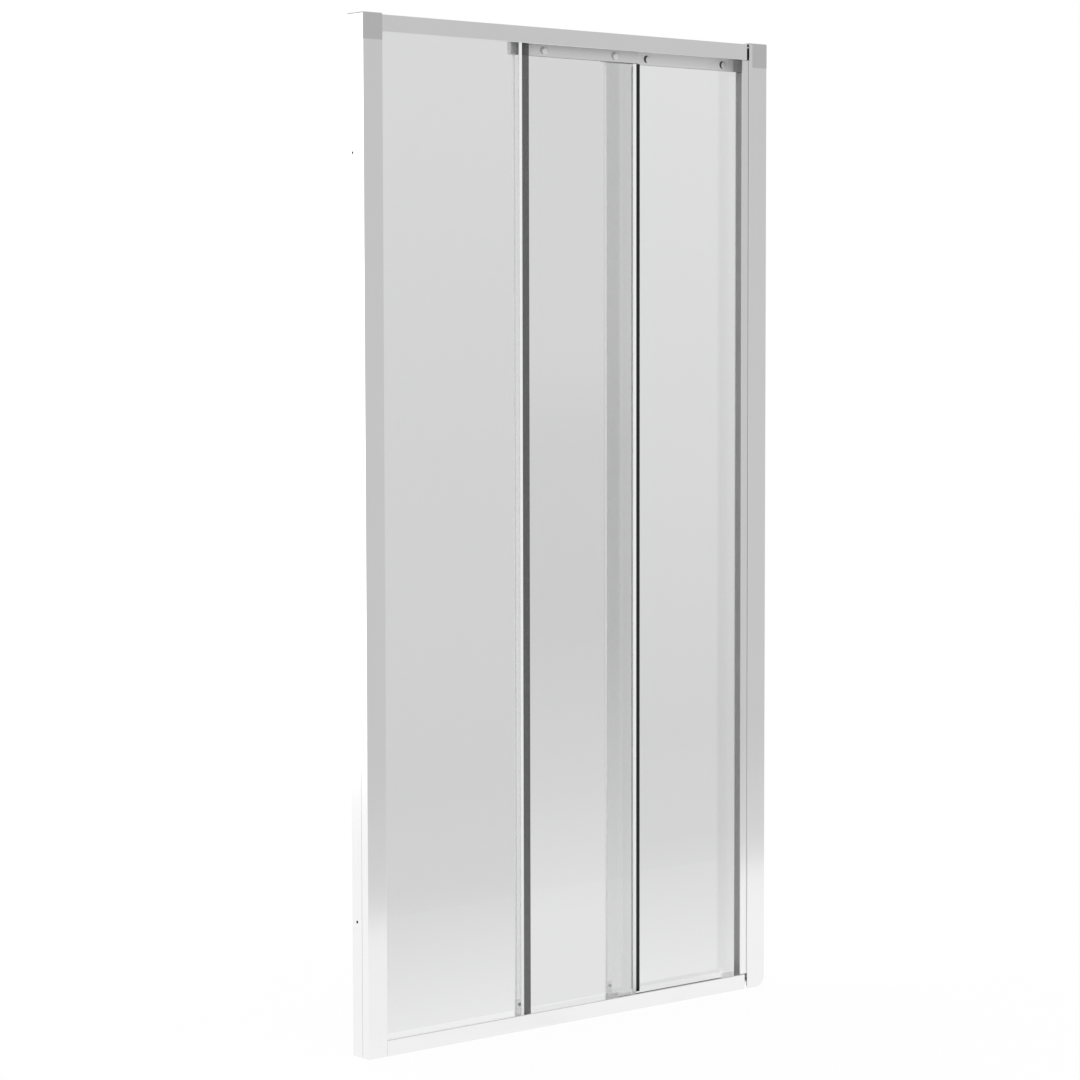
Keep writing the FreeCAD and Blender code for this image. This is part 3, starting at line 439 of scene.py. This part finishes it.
class Workbench:
    """Short calls that model a piece with Blender's own tools."""

    MERGE_GAP = 0.001 * MM
    SMOOTH_ANGLE_DEG = 35.0
    SAME_WAY = 0.99

    @staticmethod
    def clear_selection() -> None:
        """Leave object mode's selection empty, so that an operator acts on a new piece alone."""
        bpy.ops.object.select_all(action="DESELECT")

    @staticmethod
    def draw(name: str, points: list[Vector]) -> bpy.types.Object:
        """Draw a line from point to point, and stay in edit mode with all of it selected.

        Args:
            name: Name of the new piece.
            points: The points in order, in metres.

        Returns:
            The piece that the line belongs to.
        """
        Workbench.clear_selection()
        bpy.ops.mesh.primitive_plane_add(size=MM)
        piece = bpy.context.object
        piece.name = name
        bpy.ops.object.mode_set(mode="EDIT")
        bpy.ops.mesh.select_mode(type="VERT")
        bpy.ops.mesh.select_all(action="SELECT")
        bpy.ops.mesh.merge(type="CENTER")
        bpy.ops.transform.translate(value=points[0])
        for before, after in zip(points, points[1:]):
            bpy.ops.mesh.extrude_vertices_move(TRANSFORM_OT_translate={"value": after - before})
        bpy.ops.mesh.select_all(action="SELECT")
        return piece

    @staticmethod
    def turn(name: str, outline: Outline, centre: Place, steps: int = 32) -> bpy.types.Object:
        """Draw half an outline point by point and spin it about a line along Y.

        Args:
            name: Name of the new piece.
            outline: Points of the outline, each as a radius and a place along Y, in millimetres.
            centre: Point on the axis that the outline is measured from, in metres.
            steps: How many faces go round the piece.

        Returns:
            The turned piece.
        """
        points = [Vector((r * MM, along * MM, 0.0)) + Vector(centre) for r, along in outline]
        piece = Workbench.draw(name, points)
        bpy.ops.mesh.spin(steps=steps, angle=math.tau, center=centre, axis=(0.0, 1.0, 0.0))
        bpy.ops.mesh.select_all(action="SELECT")
        bpy.ops.mesh.remove_doubles(threshold=Workbench.MERGE_GAP)
        bpy.ops.mesh.normals_make_consistent(inside=False)
        bpy.ops.object.mode_set(mode="OBJECT")
        return piece

    @staticmethod
    def run_along(name: str, outline: Outline, x_from: float, x_to: float) -> bpy.types.Object:
        """Draw a closed section point by point, fill it and extrude it along X.

        Args:
            name: Name of the new piece.
            outline: Corners of the section as Y and Z, in millimetres.
            x_from: Start of the run, in millimetres.
            x_to: End of the run, in millimetres.

        Returns:
            The finished run.
        """
        piece = Workbench.draw(name, [Vector((x_from, y, z)) * MM for y, z in outline])
        bpy.ops.mesh.edge_face_add()
        run = Vector(((x_to - x_from) * MM, 0.0, 0.0))
        bpy.ops.mesh.extrude_region_move(TRANSFORM_OT_translate={"value": run})
        bpy.ops.mesh.select_all(action="SELECT")
        bpy.ops.mesh.normals_make_consistent(inside=False)
        bpy.ops.object.mode_set(mode="OBJECT")
        return piece

    @staticmethod
    def cross_cutter(arm: float, width: float, depth: float, centre: Place) -> bpy.types.Object:
        """Model the cutter of a cross recess, from a block whose four sides are drawn out.

        Args:
            arm: Reach of each arm from the axis, in millimetres.
            width: Width of each arm, in millimetres.
            depth: Depth of the recess each way from the centre, in millimetres.
            centre: Middle of the cutter, in metres.

        Returns:
            The cutter, which is taken away again after use.
        """
        Workbench.clear_selection()
        bpy.ops.mesh.primitive_cube_add(size=1.0)
        cutter = bpy.context.object
        size = Matrix.Diagonal((width * MM, 2 * depth * MM, width * MM, 1.0))
        cutter.data.transform(Matrix.Translation(centre) @ size)
        middle = Vector(centre)
        reach = (arm - width / 2) * MM
        off_axis = width * MM / 4

        def on_block(face: bmesh.types.BMFace, way: Vector) -> bool:
            """Tell the block's own side that faces one way from the sides of the arms.

            Args:
                face: The face to test.
                way: Where the side faces.

            Returns:
                Whether the face is that side.
            """
            offset = face.calc_center_median() - middle
            beside = offset - way * offset.dot(way)
            return face.normal.dot(way) > Workbench.SAME_WAY and beside.length < off_axis

        for side in (Vector((1, 0, 0)), Vector((-1, 0, 0)), Vector((0, 0, 1)), Vector((0, 0, -1))):
            Workbench.pull_faces(cutter, lambda face, way=side: on_block(face, way), side * reach)
        return cutter

    @staticmethod
    def pull_faces(piece: bpy.types.Object, test: FaceTest, move: Vector) -> None:
        """Extrude the faces that pass a test.

        Args:
            piece: The piece to shape.
            test: Tells whether a face is taken.
            move: How far and which way they go, in metres.
        """
        bpy.context.view_layer.objects.active = piece
        bpy.ops.object.mode_set(mode="EDIT")
        bpy.ops.mesh.select_mode(type="FACE")
        bpy.ops.mesh.select_all(action="DESELECT")
        shape = bmesh.from_edit_mesh(piece.data)
        for face in shape.faces:
            face.select_set(test(face))
        bmesh.update_edit_mesh(piece.data)
        bpy.ops.mesh.extrude_region_move(TRANSFORM_OT_translate={"value": move})
        bpy.ops.object.mode_set(mode="OBJECT")

    @staticmethod
    def cut(piece: bpy.types.Object, cutter: bpy.types.Object) -> None:
        """Take a cutter away from a piece and then delete the cutter.

        Args:
            piece: The piece to cut.
            cutter: The shape that is taken away.
        """
        bpy.context.view_layer.objects.active = piece
        step = piece.modifiers.new("recess", "BOOLEAN")
        step.operation = "DIFFERENCE"
        step.solver = "EXACT"
        step.object = cutter
        bpy.ops.object.modifier_apply(modifier=step.name)
        bpy.data.objects.remove(cutter, do_unlink=True)

    @staticmethod
    def copy_to(piece: bpy.types.Object, shift: Vector) -> bpy.types.Object:
        """Copy a piece with a mesh of its own, moved in that mesh.

        Args:
            piece: The piece to copy.
            shift: How far the copy is moved, in metres.

        Returns:
            The copy.
        """
        twin = piece.copy()
        twin.data = piece.data.copy()
        twin.data.transform(Matrix.Translation(shift))
        bpy.context.scene.collection.objects.link(twin)
        return twin

    @staticmethod
    def join(pieces: list[bpy.types.Object], name: str) -> bpy.types.Object:
        """Make one piece out of several and smooth its round faces.

        Args:
            pieces: The pieces to join.
            name: Name of the result.

        Returns:
            The joined piece.
        """
        Workbench.clear_selection()
        for piece in pieces:
            piece.select_set(True)
        bpy.context.view_layer.objects.active = pieces[0]
        if len(pieces) > 1:
            bpy.ops.object.join()
        whole = bpy.context.view_layer.objects.active
        whole.name = name
        bpy.ops.object.shade_smooth_by_angle(angle=math.radians(Workbench.SMOOTH_ANGLE_DEG))
        return whole


@dataclass(frozen=True)
class CrossScrew:
    """A screw with a cross recess, turned about a line along Y, in millimetres."""

    outline: Outline
    face: float
    arm: float
    width: float = 0.9
    depth: float = 0.7
    steps: int = 24

    def build(self, name: str, spots: list[Place]) -> bpy.types.Object:
        """Model one screw and copy it to every spot.

        Args:
            name: Name of the piece.
            spots: Where the outline's zero lies for each screw, in millimetres.

        Returns:
            All the screws as one piece.
        """
        first = Vector(spots[0]) * MM
        screw = Workbench.turn(name, self.outline, tuple(first), self.steps)
        recess = first + Vector((0.0, self.face * MM, 0.0))
        Workbench.cut(screw, Workbench.cross_cutter(self.arm, self.width, self.depth, tuple(recess)))
        copies = [Workbench.copy_to(screw, Vector(spot) * MM - first) for spot in spots[1:]]
        return Workbench.join([screw] + copies, name)


CHANNEL_SCREW = CrossScrew(
    outline=((0.0, 0.0), (2.7, 0.0), (3.1, -0.2), (3.2, -0.45), (3.2, -1.2), (1.75, -1.2), (1.75, -3.7),
             (1.4, -3.95), (0.0, -3.95)),
    face=0.0,
    arm=1.9,
)
GUIDE_SCREW = CrossScrew(
    outline=((0.0, -1.2), (1.5, -1.15), (2.6, -0.92), (3.2, -0.55), (3.45, -0.1), (3.45, 0.0), (2.0, 0.0),
             (2.0, 6.2), (1.6, 6.55), (0.0, 6.55)),
    face=-1.2,
    arm=1.8,
)


@dataclass
class OuterFrame:
    """Jambs, wall channels and rails, with their caps, screws and stops, in millimetres."""

    nodes: dict[str, bpy.types.Object]
    rack: FinishRack
    back: float = 24.0
    back_screws: dict[str, tuple[Spot, ...]] = field(default_factory=lambda: {
        "left_channel_screws": ((-479.0, 150.0), (-479.0, 948.75), (-479.0, 1747.5)),
        "right_channel_screws": ((479.0, 150.0), (479.0, 948.75), (479.0, 1747.5)),
        "right_corner_screws": ((441.0, 1881.75), (441.0, 8.25)),
    })

    def dress(self) -> None:
        """Give every piece of the outer frame its finish."""
        finishes = {
            "left_wall_channel": FRAME_UPRIGHT,
            "left_jamb": FRAME_UPRIGHT,
            "right_wall_channel": FRAME_UPRIGHT,
            "right_jamb": FRAME_UPRIGHT,
            "head_rail": FRAME_LENGTHWISE,
            "sill_rail": FRAME_LENGTHWISE,
            "left_top_cap": CAP_PLASTIC,
            "right_top_cap": CAP_PLASTIC,
            "left_corner_screws": STEEL,
            "strike_gasket": GASKET_RUBBER,
            "head_track_stops": BLACK_RUBBER,
        }
        for node, finish in finishes.items():
            self.rack.give(self.nodes[node], finish)

    def build(self) -> None:
        """Model the cross-headed screws in the back of the frame."""
        for node, spots in self.back_screws.items():
            screws = CHANNEL_SCREW.build(node + "_dressed", [(x, self.back, z) for x, z in spots])
            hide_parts(node)
            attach(screws, "frame")
            self.rack.give(screws, STEEL)


@dataclass
class FixedPane:
    """The fixed glass, its gaskets and the profile and seal on its free edge."""

    nodes: dict[str, bpy.types.Object]
    rack: FinishRack

    def dress(self) -> None:
        """Give every piece of the fixed pane its finish."""
        finishes = {
            "fixed_pane": PANE_GLASS,
            "fixed_pane_jamb_gasket": PALE_GASKET,
            "fixed_pane_head_gasket": PALE_GASKET,
            "fixed_pane_sill_gasket": PALE_GASKET,
            "fixed_edge_profile": EDGE_PROFILE_PAINTED_HIGHLIGHT,
            "fixed_edge_seal": DARK_SEAL,
        }
        for node, finish in finishes.items():
            self.rack.give(self.nodes[node], finish)


@dataclass(frozen=True)
class BottomTrim:
    """Sizes of the thin dark trim over the bottom edge of a door's glass, in millimetres."""

    left: float
    right: float
    seat_low: float
    lip_high: float
    side_skin: float = 0.9
    floor_skin: float = 0.8
    lip_drop: float = 0.4
    lip_lean: float = 0.3

    def section(self, inner: float) -> Outline:
        """Draw the trim's section about the middle of the glass.

        Args:
            inner: Half the width of the seat between its two sides.

        Returns:
            Corners of the section, as a place across the glass and a height.
        """
        outer = inner + self.side_skin
        floor = self.seat_low - self.floor_skin
        low = self.seat_low
        high = self.lip_high
        lip = high - self.lip_drop
        lean = inner + self.lip_lean
        return ((-outer, floor), (outer, floor), (outer, lip), (lean, high), (inner, lip),
                (inner, low), (-inner, low), (-inner, lip), (-lean, high), (-outer, lip))


@dataclass
class HungDoor:
    """A sliding door: glass, hanger bar, roller carriages and guide shoes, in millimetres.

    The plane is the middle of its glass along Y. The bolts and the guide screw are given along X.
    """

    name: str
    nodes: dict[str, bpy.types.Object]
    rack: FinishRack
    own_finishes: dict[str, Finish]
    plane: float
    bolts: tuple[float, float]
    guide_screw: float
    shade_ring_slot: str
    shade_ring_finish: Finish
    bolt_height: float = 1856.0
    half_bar: float = 5.0
    half_seat: float = 2.6
    guide_height: float = 47.0
    bolt_outline: Outline = ((0.0, -2.0), (3.4, -1.97), (5.2, -1.86), (6.2, -1.64), (6.8, -1.25),
                             (7.0, -0.85), (7.0, -0.7), (2.5, -0.7), (2.5, 11.6), (2.1, 12.0), (0.0, 12.0))
    # The eccentric rings are dark so that each paints the shade crescent to the upper left of its bolt
    # head.
    shade_ring_outline: Outline = ((0.0, -0.7), (6.8, -0.7), (7.1, -0.55), (7.2, -0.3), (7.2, 0.0), (0.0, 0.0))
    shade_ring_hole: Outline = ((0.0, -1.5), (2.6, -1.5), (2.6, 1.0), (0.0, 1.0))
    shade_ring_throw: tuple[float, float] = (-4.3, 0.7)
    shade_ring_steps: int = 48

    def build(self) -> None:
        """Model the domed hanger bolts on eccentric dark rings of painted shade, and the guide screw."""
        axis = Vector((self.bolts[0], self.plane - self.half_bar, self.bolt_height)) * MM
        bolt = Workbench.turn(self.name + "_hanger_bolts_dressed", self.bolt_outline, tuple(axis))
        self.attach(self.at_both_bolts(bolt), BOLT_CHROME, "_hanger_bolts")
        across, up = self.shade_ring_throw
        centre = axis + Vector((across, 0.0, up)) * MM
        shade_ring = Workbench.turn(self.name + "_painted_shade_rings", self.shade_ring_outline, tuple(centre),
                                self.shade_ring_steps)
        Workbench.cut(shade_ring, Workbench.turn("shade_ring_hole", self.shade_ring_hole, tuple(axis)))
        self.attach(self.at_both_bolts(shade_ring), self.shade_ring_finish)
        screw = GUIDE_SCREW.build(self.name + "_guide_screw_dressed",
                                  [(self.guide_screw, self.plane - self.half_seat, self.guide_height)])
        self.attach(screw, BOLT_CHROME, "_guide_screw")

    def at_both_bolts(self, part: bpy.types.Object) -> bpy.types.Object:
        """Set a copy of a part that was modelled at the left bolt at the right bolt too.

        Args:
            part: The part at the left bolt.

        Returns:
            Both parts as one piece.
        """
        left, right = self.bolts
        twin = Workbench.copy_to(part, Vector(((right - left) * MM, 0.0, 0.0)))
        return Workbench.join([part, twin], part.name)

    def attach(self, piece: bpy.types.Object, finish: Finish, node: str = "") -> None:
        """Let a new piece ride on the door and finish.

        Args:
            piece: The new piece.
            finish: The finish that it gets.
            node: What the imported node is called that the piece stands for, if any.
        """
        if node:
            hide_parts(self.name + node)
        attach(piece, self.name + "_door")
        self.rack.give(piece, finish)

    def add_bottom_trim(self, trim: BottomTrim) -> None:
        """Model the thin dark trim over the bottom edge of the door's glass.

        Args:
            trim: Sizes of the trim.
        """
        outline = tuple((self.plane + y, z) for y, z in trim.section(self.half_seat))
        piece = Workbench.run_along(self.name + "_bottom_trim", outline, trim.left, trim.right)
        self.attach(Workbench.join([piece], piece.name), BLACK_RUBBER)

    def dress(self) -> None:
        """Give every piece of the door its finish."""
        finishes = {
            "_pane": PANE_GLASS,
            "_hanger_gasket": GASKET_RUBBER,
            "_roller_plates": STEEL,
            "_roller_axles": STEEL,
            "_guide_shoes": SHOE_NYLON,
            "_roller_left": NYLON,
            "_roller_right": NYLON,
            **self.own_finishes,
        }
        for part, finish in finishes.items():
            self.rack.give(self.nodes[self.name + part], finish)


@dataclass(frozen=True)
class ViewPoint:
    """The camera: where it stands, how it is turned, and how long its lens is."""

    place: Place = (-3.77365, -4.45149, 1.31828)
    yaw_deg: float = 39.7535
    pitch_deg: float = 3.8095
    roll_deg: float = -0.1115
    lens_mm: float = 101.608
    sensor_mm: float = 36.0

    def set_up(self) -> None:
        """Add the camera and make it the scene's own."""
        yaw = math.radians(self.yaw_deg)
        pitch = math.radians(self.pitch_deg)
        roll = math.radians(self.roll_deg)
        ahead = Vector((math.sin(yaw) * math.cos(pitch), math.cos(yaw) * math.cos(pitch), -math.sin(pitch)))
        level = Vector((math.cos(yaw), -math.sin(yaw), 0.0))
        upward = level.cross(ahead)
        right = level * math.cos(roll) + upward * math.sin(roll)
        above = right.cross(ahead)
        turn = Matrix((right, above, -ahead)).transposed()
        data = bpy.data.cameras.new("photo_camera")
        data.lens = self.lens_mm
        data.sensor_width = self.sensor_mm
        camera = bpy.data.objects.new("photo_camera", data)
        bpy.context.scene.collection.objects.link(camera)
        camera.matrix_world = Matrix.Translation(self.place) @ turn.to_4x4()
        bpy.context.scene.camera = camera


@dataclass(frozen=True)
class CardStop:
    """One height on a studio card and the brightness that it has there."""

    height: float
    glow: float


class CardSight(Enum):
    """How a card is seen: mirrored in the metal, or through the glass."""

    MIRRORED = "mirrored"
    THROUGH_GLASS = "through glass"


@dataclass(frozen=True)
class StudioCard:
    """An upright card that the metal mirrors or that stands behind the glass, unseen by the camera."""

    name: str
    sight: CardSight
    left: Spot
    right: Spot
    stops: tuple[CardStop, ...]
    left_fade: float = 0.25
    right_fade: float = 0.25

    def set_up(self) -> None:
        """Add the card with its brightness from bottom to top."""
        low = self.stops[0].height
        high = self.stops[-1].height
        left = Vector(self.left)
        right = Vector(self.right)
        run = right - left
        middle = (left + right) / 2
        Workbench.clear_selection()
        bpy.ops.mesh.primitive_plane_add(size=1.0)
        card = bpy.context.object
        card.name = self.name
        across = Matrix.Diagonal((run.length, high - low, 1.0, 1.0))
        stand = Matrix.Rotation(math.radians(90.0), 4, "X")
        turn = Matrix.Rotation(math.atan2(run.y, run.x), 4, "Z")
        lift = Matrix.Translation((middle.x, middle.y, (low + high) / 2))
        card.data.transform(lift @ turn @ stand @ across)
        card.data.materials.append(self.glow_material(low, high))
        card.visible_camera = False
        card.visible_diffuse = False
        card.visible_shadow = False
        card.visible_glossy = self.sight is CardSight.MIRRORED
        card.visible_transmission = self.sight is CardSight.THROUGH_GLASS

    def glow_material(self, low: float, high: float) -> bpy.types.Material:
        """Build the card's own even glow, which changes with height.

        Args:
            low: Height of the card's lower edge.
            high: Height of the card's upper edge.

        Returns:
            The material.
        """
        material = bare_material(self.name)
        tree = material.node_tree
        place = tree.nodes.new("ShaderNodeTexCoord")
        split = tree.nodes.new("ShaderNodeSeparateXYZ")
        span = tree.nodes.new("ShaderNodeMapRange")
        span.inputs["From Min"].default_value = low
        span.inputs["From Max"].default_value = high
        ramp = tree.nodes.new("ShaderNodeValToRGB")
        marks = ramp.color_ramp.elements
        while len(marks) < len(self.stops):
            marks.new(0.5)
        for mark, stop in zip(marks, self.stops):
            mark.position = (stop.height - low) / (high - low)
            mark.color = (stop.glow, stop.glow, stop.glow, 1.0)
        glow = tree.nodes.new("ShaderNodeEmission")
        clear = tree.nodes.new("ShaderNodeBsdfTransparent")
        blend = tree.nodes.new("ShaderNodeMixShader")
        out = tree.nodes.new("ShaderNodeOutputMaterial")
        tree.links.new(place.outputs["Object"], split.inputs["Vector"])
        tree.links.new(split.outputs["Z"], span.inputs["Value"])
        tree.links.new(span.outputs["Result"], ramp.inputs["Fac"])
        tree.links.new(ramp.outputs["Color"], glow.inputs["Color"])
        tree.links.new(self.end_share(tree, place.outputs["Object"]), blend.inputs["Fac"])
        tree.links.new(clear.outputs["BSDF"], blend.inputs[1])
        tree.links.new(glow.outputs["Emission"], blend.inputs[2])
        tree.links.new(blend.outputs["Shader"], out.inputs["Surface"])
        return material

    def end_share(self, tree: bpy.types.NodeTree, place: bpy.types.NodeSocket) -> bpy.types.NodeSocket:
        """Let the card fade out towards its left and right ends.

        Args:
            tree: The card's node tree.
            place: The place on the card.

        Returns:
            An output that is 1 on the card and falls to 0 at its ends.
        """
        way = (Vector(self.right) - Vector(self.left)).normalized()
        start = Vector(self.left).dot(way)
        end = Vector(self.right).dot(way)
        along = tree.nodes.new("ShaderNodeVectorMath")
        along.operation = "DOT_PRODUCT"
        along.inputs[1].default_value = way.to_3d()
        tree.links.new(place, along.inputs[0])
        both = tree.nodes.new("ShaderNodeMath")
        both.operation = "MULTIPLY"
        fades = ((start, start + self.left_fade), (end, end - self.right_fade))
        for (outer, inner), factor in zip(fades, both.inputs):
            fade = tree.nodes.new("ShaderNodeMapRange")
            fade.interpolation_type = "SMOOTHSTEP"
            fade.inputs["From Min"].default_value = outer
            fade.inputs["From Max"].default_value = inner
            tree.links.new(along.outputs["Value"], fade.inputs["Value"])
            tree.links.new(fade.outputs["Result"], factor)
        return both.outputs["Value"]


@dataclass(frozen=True)
class Studio:
    """Plain white studio: pale floor, white surroundings, a side lamp and grey cards."""

    floor_half: float = 14.0
    floor_drop: float = 0.0005
    floor_shade: float = 0.97
    floor_white: float = 0.95
    lamp_place: Place = (-3.2, 2.6, 1.6)
    lamp_aim: Place = (0.0, 0.0, 0.95)
    lamp_width: float = 2.4
    lamp_height: float = 3.2
    lamp_watts: float = 24.0
    cards: tuple[StudioCard, ...] = (
        StudioCard("front_card", CardSight.MIRRORED, left=(-1.2, -1.10), right=(6.0, -1.10),
                   stops=(CardStop(0.0, 0.74), CardStop(0.32, 0.62), CardStop(1.95, 0.60),
                          CardStop(3.2, 0.60))),
        StudioCard("rear_card", CardSight.MIRRORED, left=(-1.6, 1.6), right=(2.4, 1.6),
                   stops=(CardStop(0.0, 0.78), CardStop(0.5, 0.62), CardStop(2.0, 0.58),
                          CardStop(3.2, 0.66))),
        StudioCard("right_card", CardSight.MIRRORED, left=(2.0, -1.8), right=(2.0, 1.8),
                   stops=(CardStop(0.0, 0.80), CardStop(0.5, 0.64), CardStop(2.0, 0.60),
                          CardStop(3.2, 0.68))),
        # The cards behind the glass paint the light and shade that shows through the panes: brighter near
        # the floor, and darkest behind the overlap of the two doors.
        StudioCard("back_card_left", CardSight.THROUGH_GLASS, left=(-0.45, 0.126), right=(-0.029, 0.126),
                   stops=(CardStop(0.0, 0.92), CardStop(0.13, 0.83), CardStop(0.27, 0.73),
                          CardStop(0.45, 0.71), CardStop(1.1, 0.735), CardStop(2.1, 0.81)),
                   left_fade=0.09, right_fade=0.003),
        StudioCard("back_card_middle", CardSight.THROUGH_GLASS, left=(-0.020, 0.128), right=(0.30, 0.128),
                   stops=(CardStop(0.0, 0.87), CardStop(0.17, 0.87), CardStop(0.43, 0.75),
                          CardStop(0.75, 0.68), CardStop(1.1, 0.70), CardStop(1.3, 0.75),
                          CardStop(2.1, 0.76)),
                   left_fade=0.004, right_fade=0.02),
        StudioCard("back_card_painted_overlap_shade", CardSight.THROUGH_GLASS, left=(0.196, 0.127), right=(0.245, 0.127),
                   stops=(CardStop(0.0, 0.86), CardStop(0.17, 0.83), CardStop(0.43, 0.70),
                          CardStop(0.75, 0.56), CardStop(1.1, 0.54), CardStop(1.4, 0.60),
                          CardStop(2.1, 0.62)),
                   left_fade=0.01, right_fade=0.012),
        StudioCard("back_card_right", CardSight.THROUGH_GLASS, left=(0.25, 0.130), right=(0.85, 0.130),
                   stops=(CardStop(0.0, 0.92), CardStop(0.20, 0.81), CardStop(0.30, 0.75),
                          CardStop(0.52, 0.73), CardStop(1.06, 0.79), CardStop(2.1, 0.88)),
                   left_fade=0.004, right_fade=0.15),
    )

    def set_up(self) -> None:
        """Add the surroundings, the floor, the lamp and the cards."""
        self.add_surroundings()
        self.add_floor()
        self.add_lamp()
        for card in self.cards:
            card.set_up()

    def add_surroundings(self) -> None:
        """Make the world plain white at a strength of one."""
        world = bpy.data.worlds.new("white_surroundings")
        world.use_nodes = True
        sky = world.node_tree.nodes["Background"]
        sky.inputs["Color"].default_value = (1.0, 1.0, 1.0, 1.0)
        sky.inputs["Strength"].default_value = 1.0
        bpy.context.scene.world = world

    def add_floor(self) -> None:
        """Add the pale floor, white to the camera apart from the object's shadow."""
        Workbench.clear_selection()
        bpy.ops.mesh.primitive_plane_add(size=2 * self.floor_half, location=(0.0, 0.0, -self.floor_drop))
        floor = bpy.context.object
        floor.name = "pale_floor"
        material = bare_material("pale_floor")
        tree = material.node_tree
        rays = tree.nodes.new("ShaderNodeLightPath")
        seen = rays.outputs["Is Camera Ray"]
        for kind in ("Is Glossy Ray", "Is Transmission Ray"):
            either = tree.nodes.new("ShaderNodeMath")
            either.operation = "MAXIMUM"
            tree.links.new(seen, either.inputs[0])
            tree.links.new(rays.outputs[kind], either.inputs[1])
            seen = either.outputs["Value"]
        white = tree.nodes.new("ShaderNodeMath")
        white.operation = "MULTIPLY"
        white.inputs[1].default_value = self.floor_white
        matt = tree.nodes.new("ShaderNodeBsdfDiffuse")
        matt.inputs["Color"].default_value = (self.floor_shade,) * 3 + (1.0,)
        glow = tree.nodes.new("ShaderNodeEmission")
        blend = tree.nodes.new("ShaderNodeMixShader")
        out = tree.nodes.new("ShaderNodeOutputMaterial")
        tree.links.new(seen, white.inputs[0])
        tree.links.new(white.outputs["Value"], blend.inputs["Fac"])
        tree.links.new(matt.outputs["BSDF"], blend.inputs[1])
        tree.links.new(glow.outputs["Emission"], blend.inputs[2])
        tree.links.new(blend.outputs["Shader"], out.inputs["Surface"])
        floor.data.materials.append(material)

    def add_lamp(self) -> None:
        """Add the large soft lamp that stands to the left behind the screen."""
        data = bpy.data.lights.new("left_softbox", "AREA")
        data.shape = "RECTANGLE"
        data.size = self.lamp_width
        data.size_y = self.lamp_height
        data.energy = self.lamp_watts
        lamp = bpy.data.objects.new("left_softbox", data)
        bpy.context.scene.collection.objects.link(lamp)
        lamp.location = self.lamp_place
        aim = Vector(self.lamp_aim) - Vector(self.lamp_place)
        lamp.rotation_euler = aim.to_track_quat("-Z", "Y").to_euler()


def main() -> None:
    """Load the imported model, dress it, and set up the studio and the camera."""
    logging.basicConfig(level=logging.INFO, format="%(name)s: %(message)s")
    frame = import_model()
    nodes = frame["nodes"]
    rack = FinishRack()
    outer = OuterFrame(nodes, rack)
    outer.dress()
    outer.build()
    FixedPane(nodes, rack).dress()
    middle_finishes = {
        "_hanger_bar": MIDDLE_BAR_PAINTED_DARKER,
        "_bar_end_caps": BAR_CAP_PLASTIC,
        "_edge_profile": EDGE_PROFILE_PAINTED_HIGHLIGHT,
        "_edge_seal": BLACK_SEAL,
    }
    # The middle door's rings take the grey gasket rubber, a paler painted shade than the leading door's
    # black rings.
    middle = HungDoor("middle", nodes, rack, middle_finishes, plane=-1.5, bolts=(-62.2, 115.4),
                      guide_screw=-128.8, shade_ring_slot="grey_gasket", shade_ring_finish=GASKET_RUBBER)
    middle.dress()
    middle.build()
    leading_finishes = {
        "_hanger_bar": LEADING_BAR_PAINTED_LIGHTER,
        "_bar_end_cap": BAR_CAP_PLASTIC,
        "_end_bumper": BUMPER_PLASTIC,
        "_closing_profile": CLOSING_METAL,
        "_closing_seal": BLACK_RUBBER,
    }
    leading = HungDoor("leading", nodes, rack, leading_finishes, plane=14.5, bolts=(213.2, 414.1),
                       guide_screw=114.1, shade_ring_slot="black_rubber", shade_ring_finish=BLACK_SHADE_RING)
    leading.dress()
    leading.build()
    leading.add_bottom_trim(BottomTrim(left=137.0, right=417.0, seat_low=15.9, lip_high=20.8))
    Studio().set_up()
    ViewPoint().set_up()
    bpy.context.scene.view_settings.view_transform = "Standard"


if __name__ == "__main__":
    main()
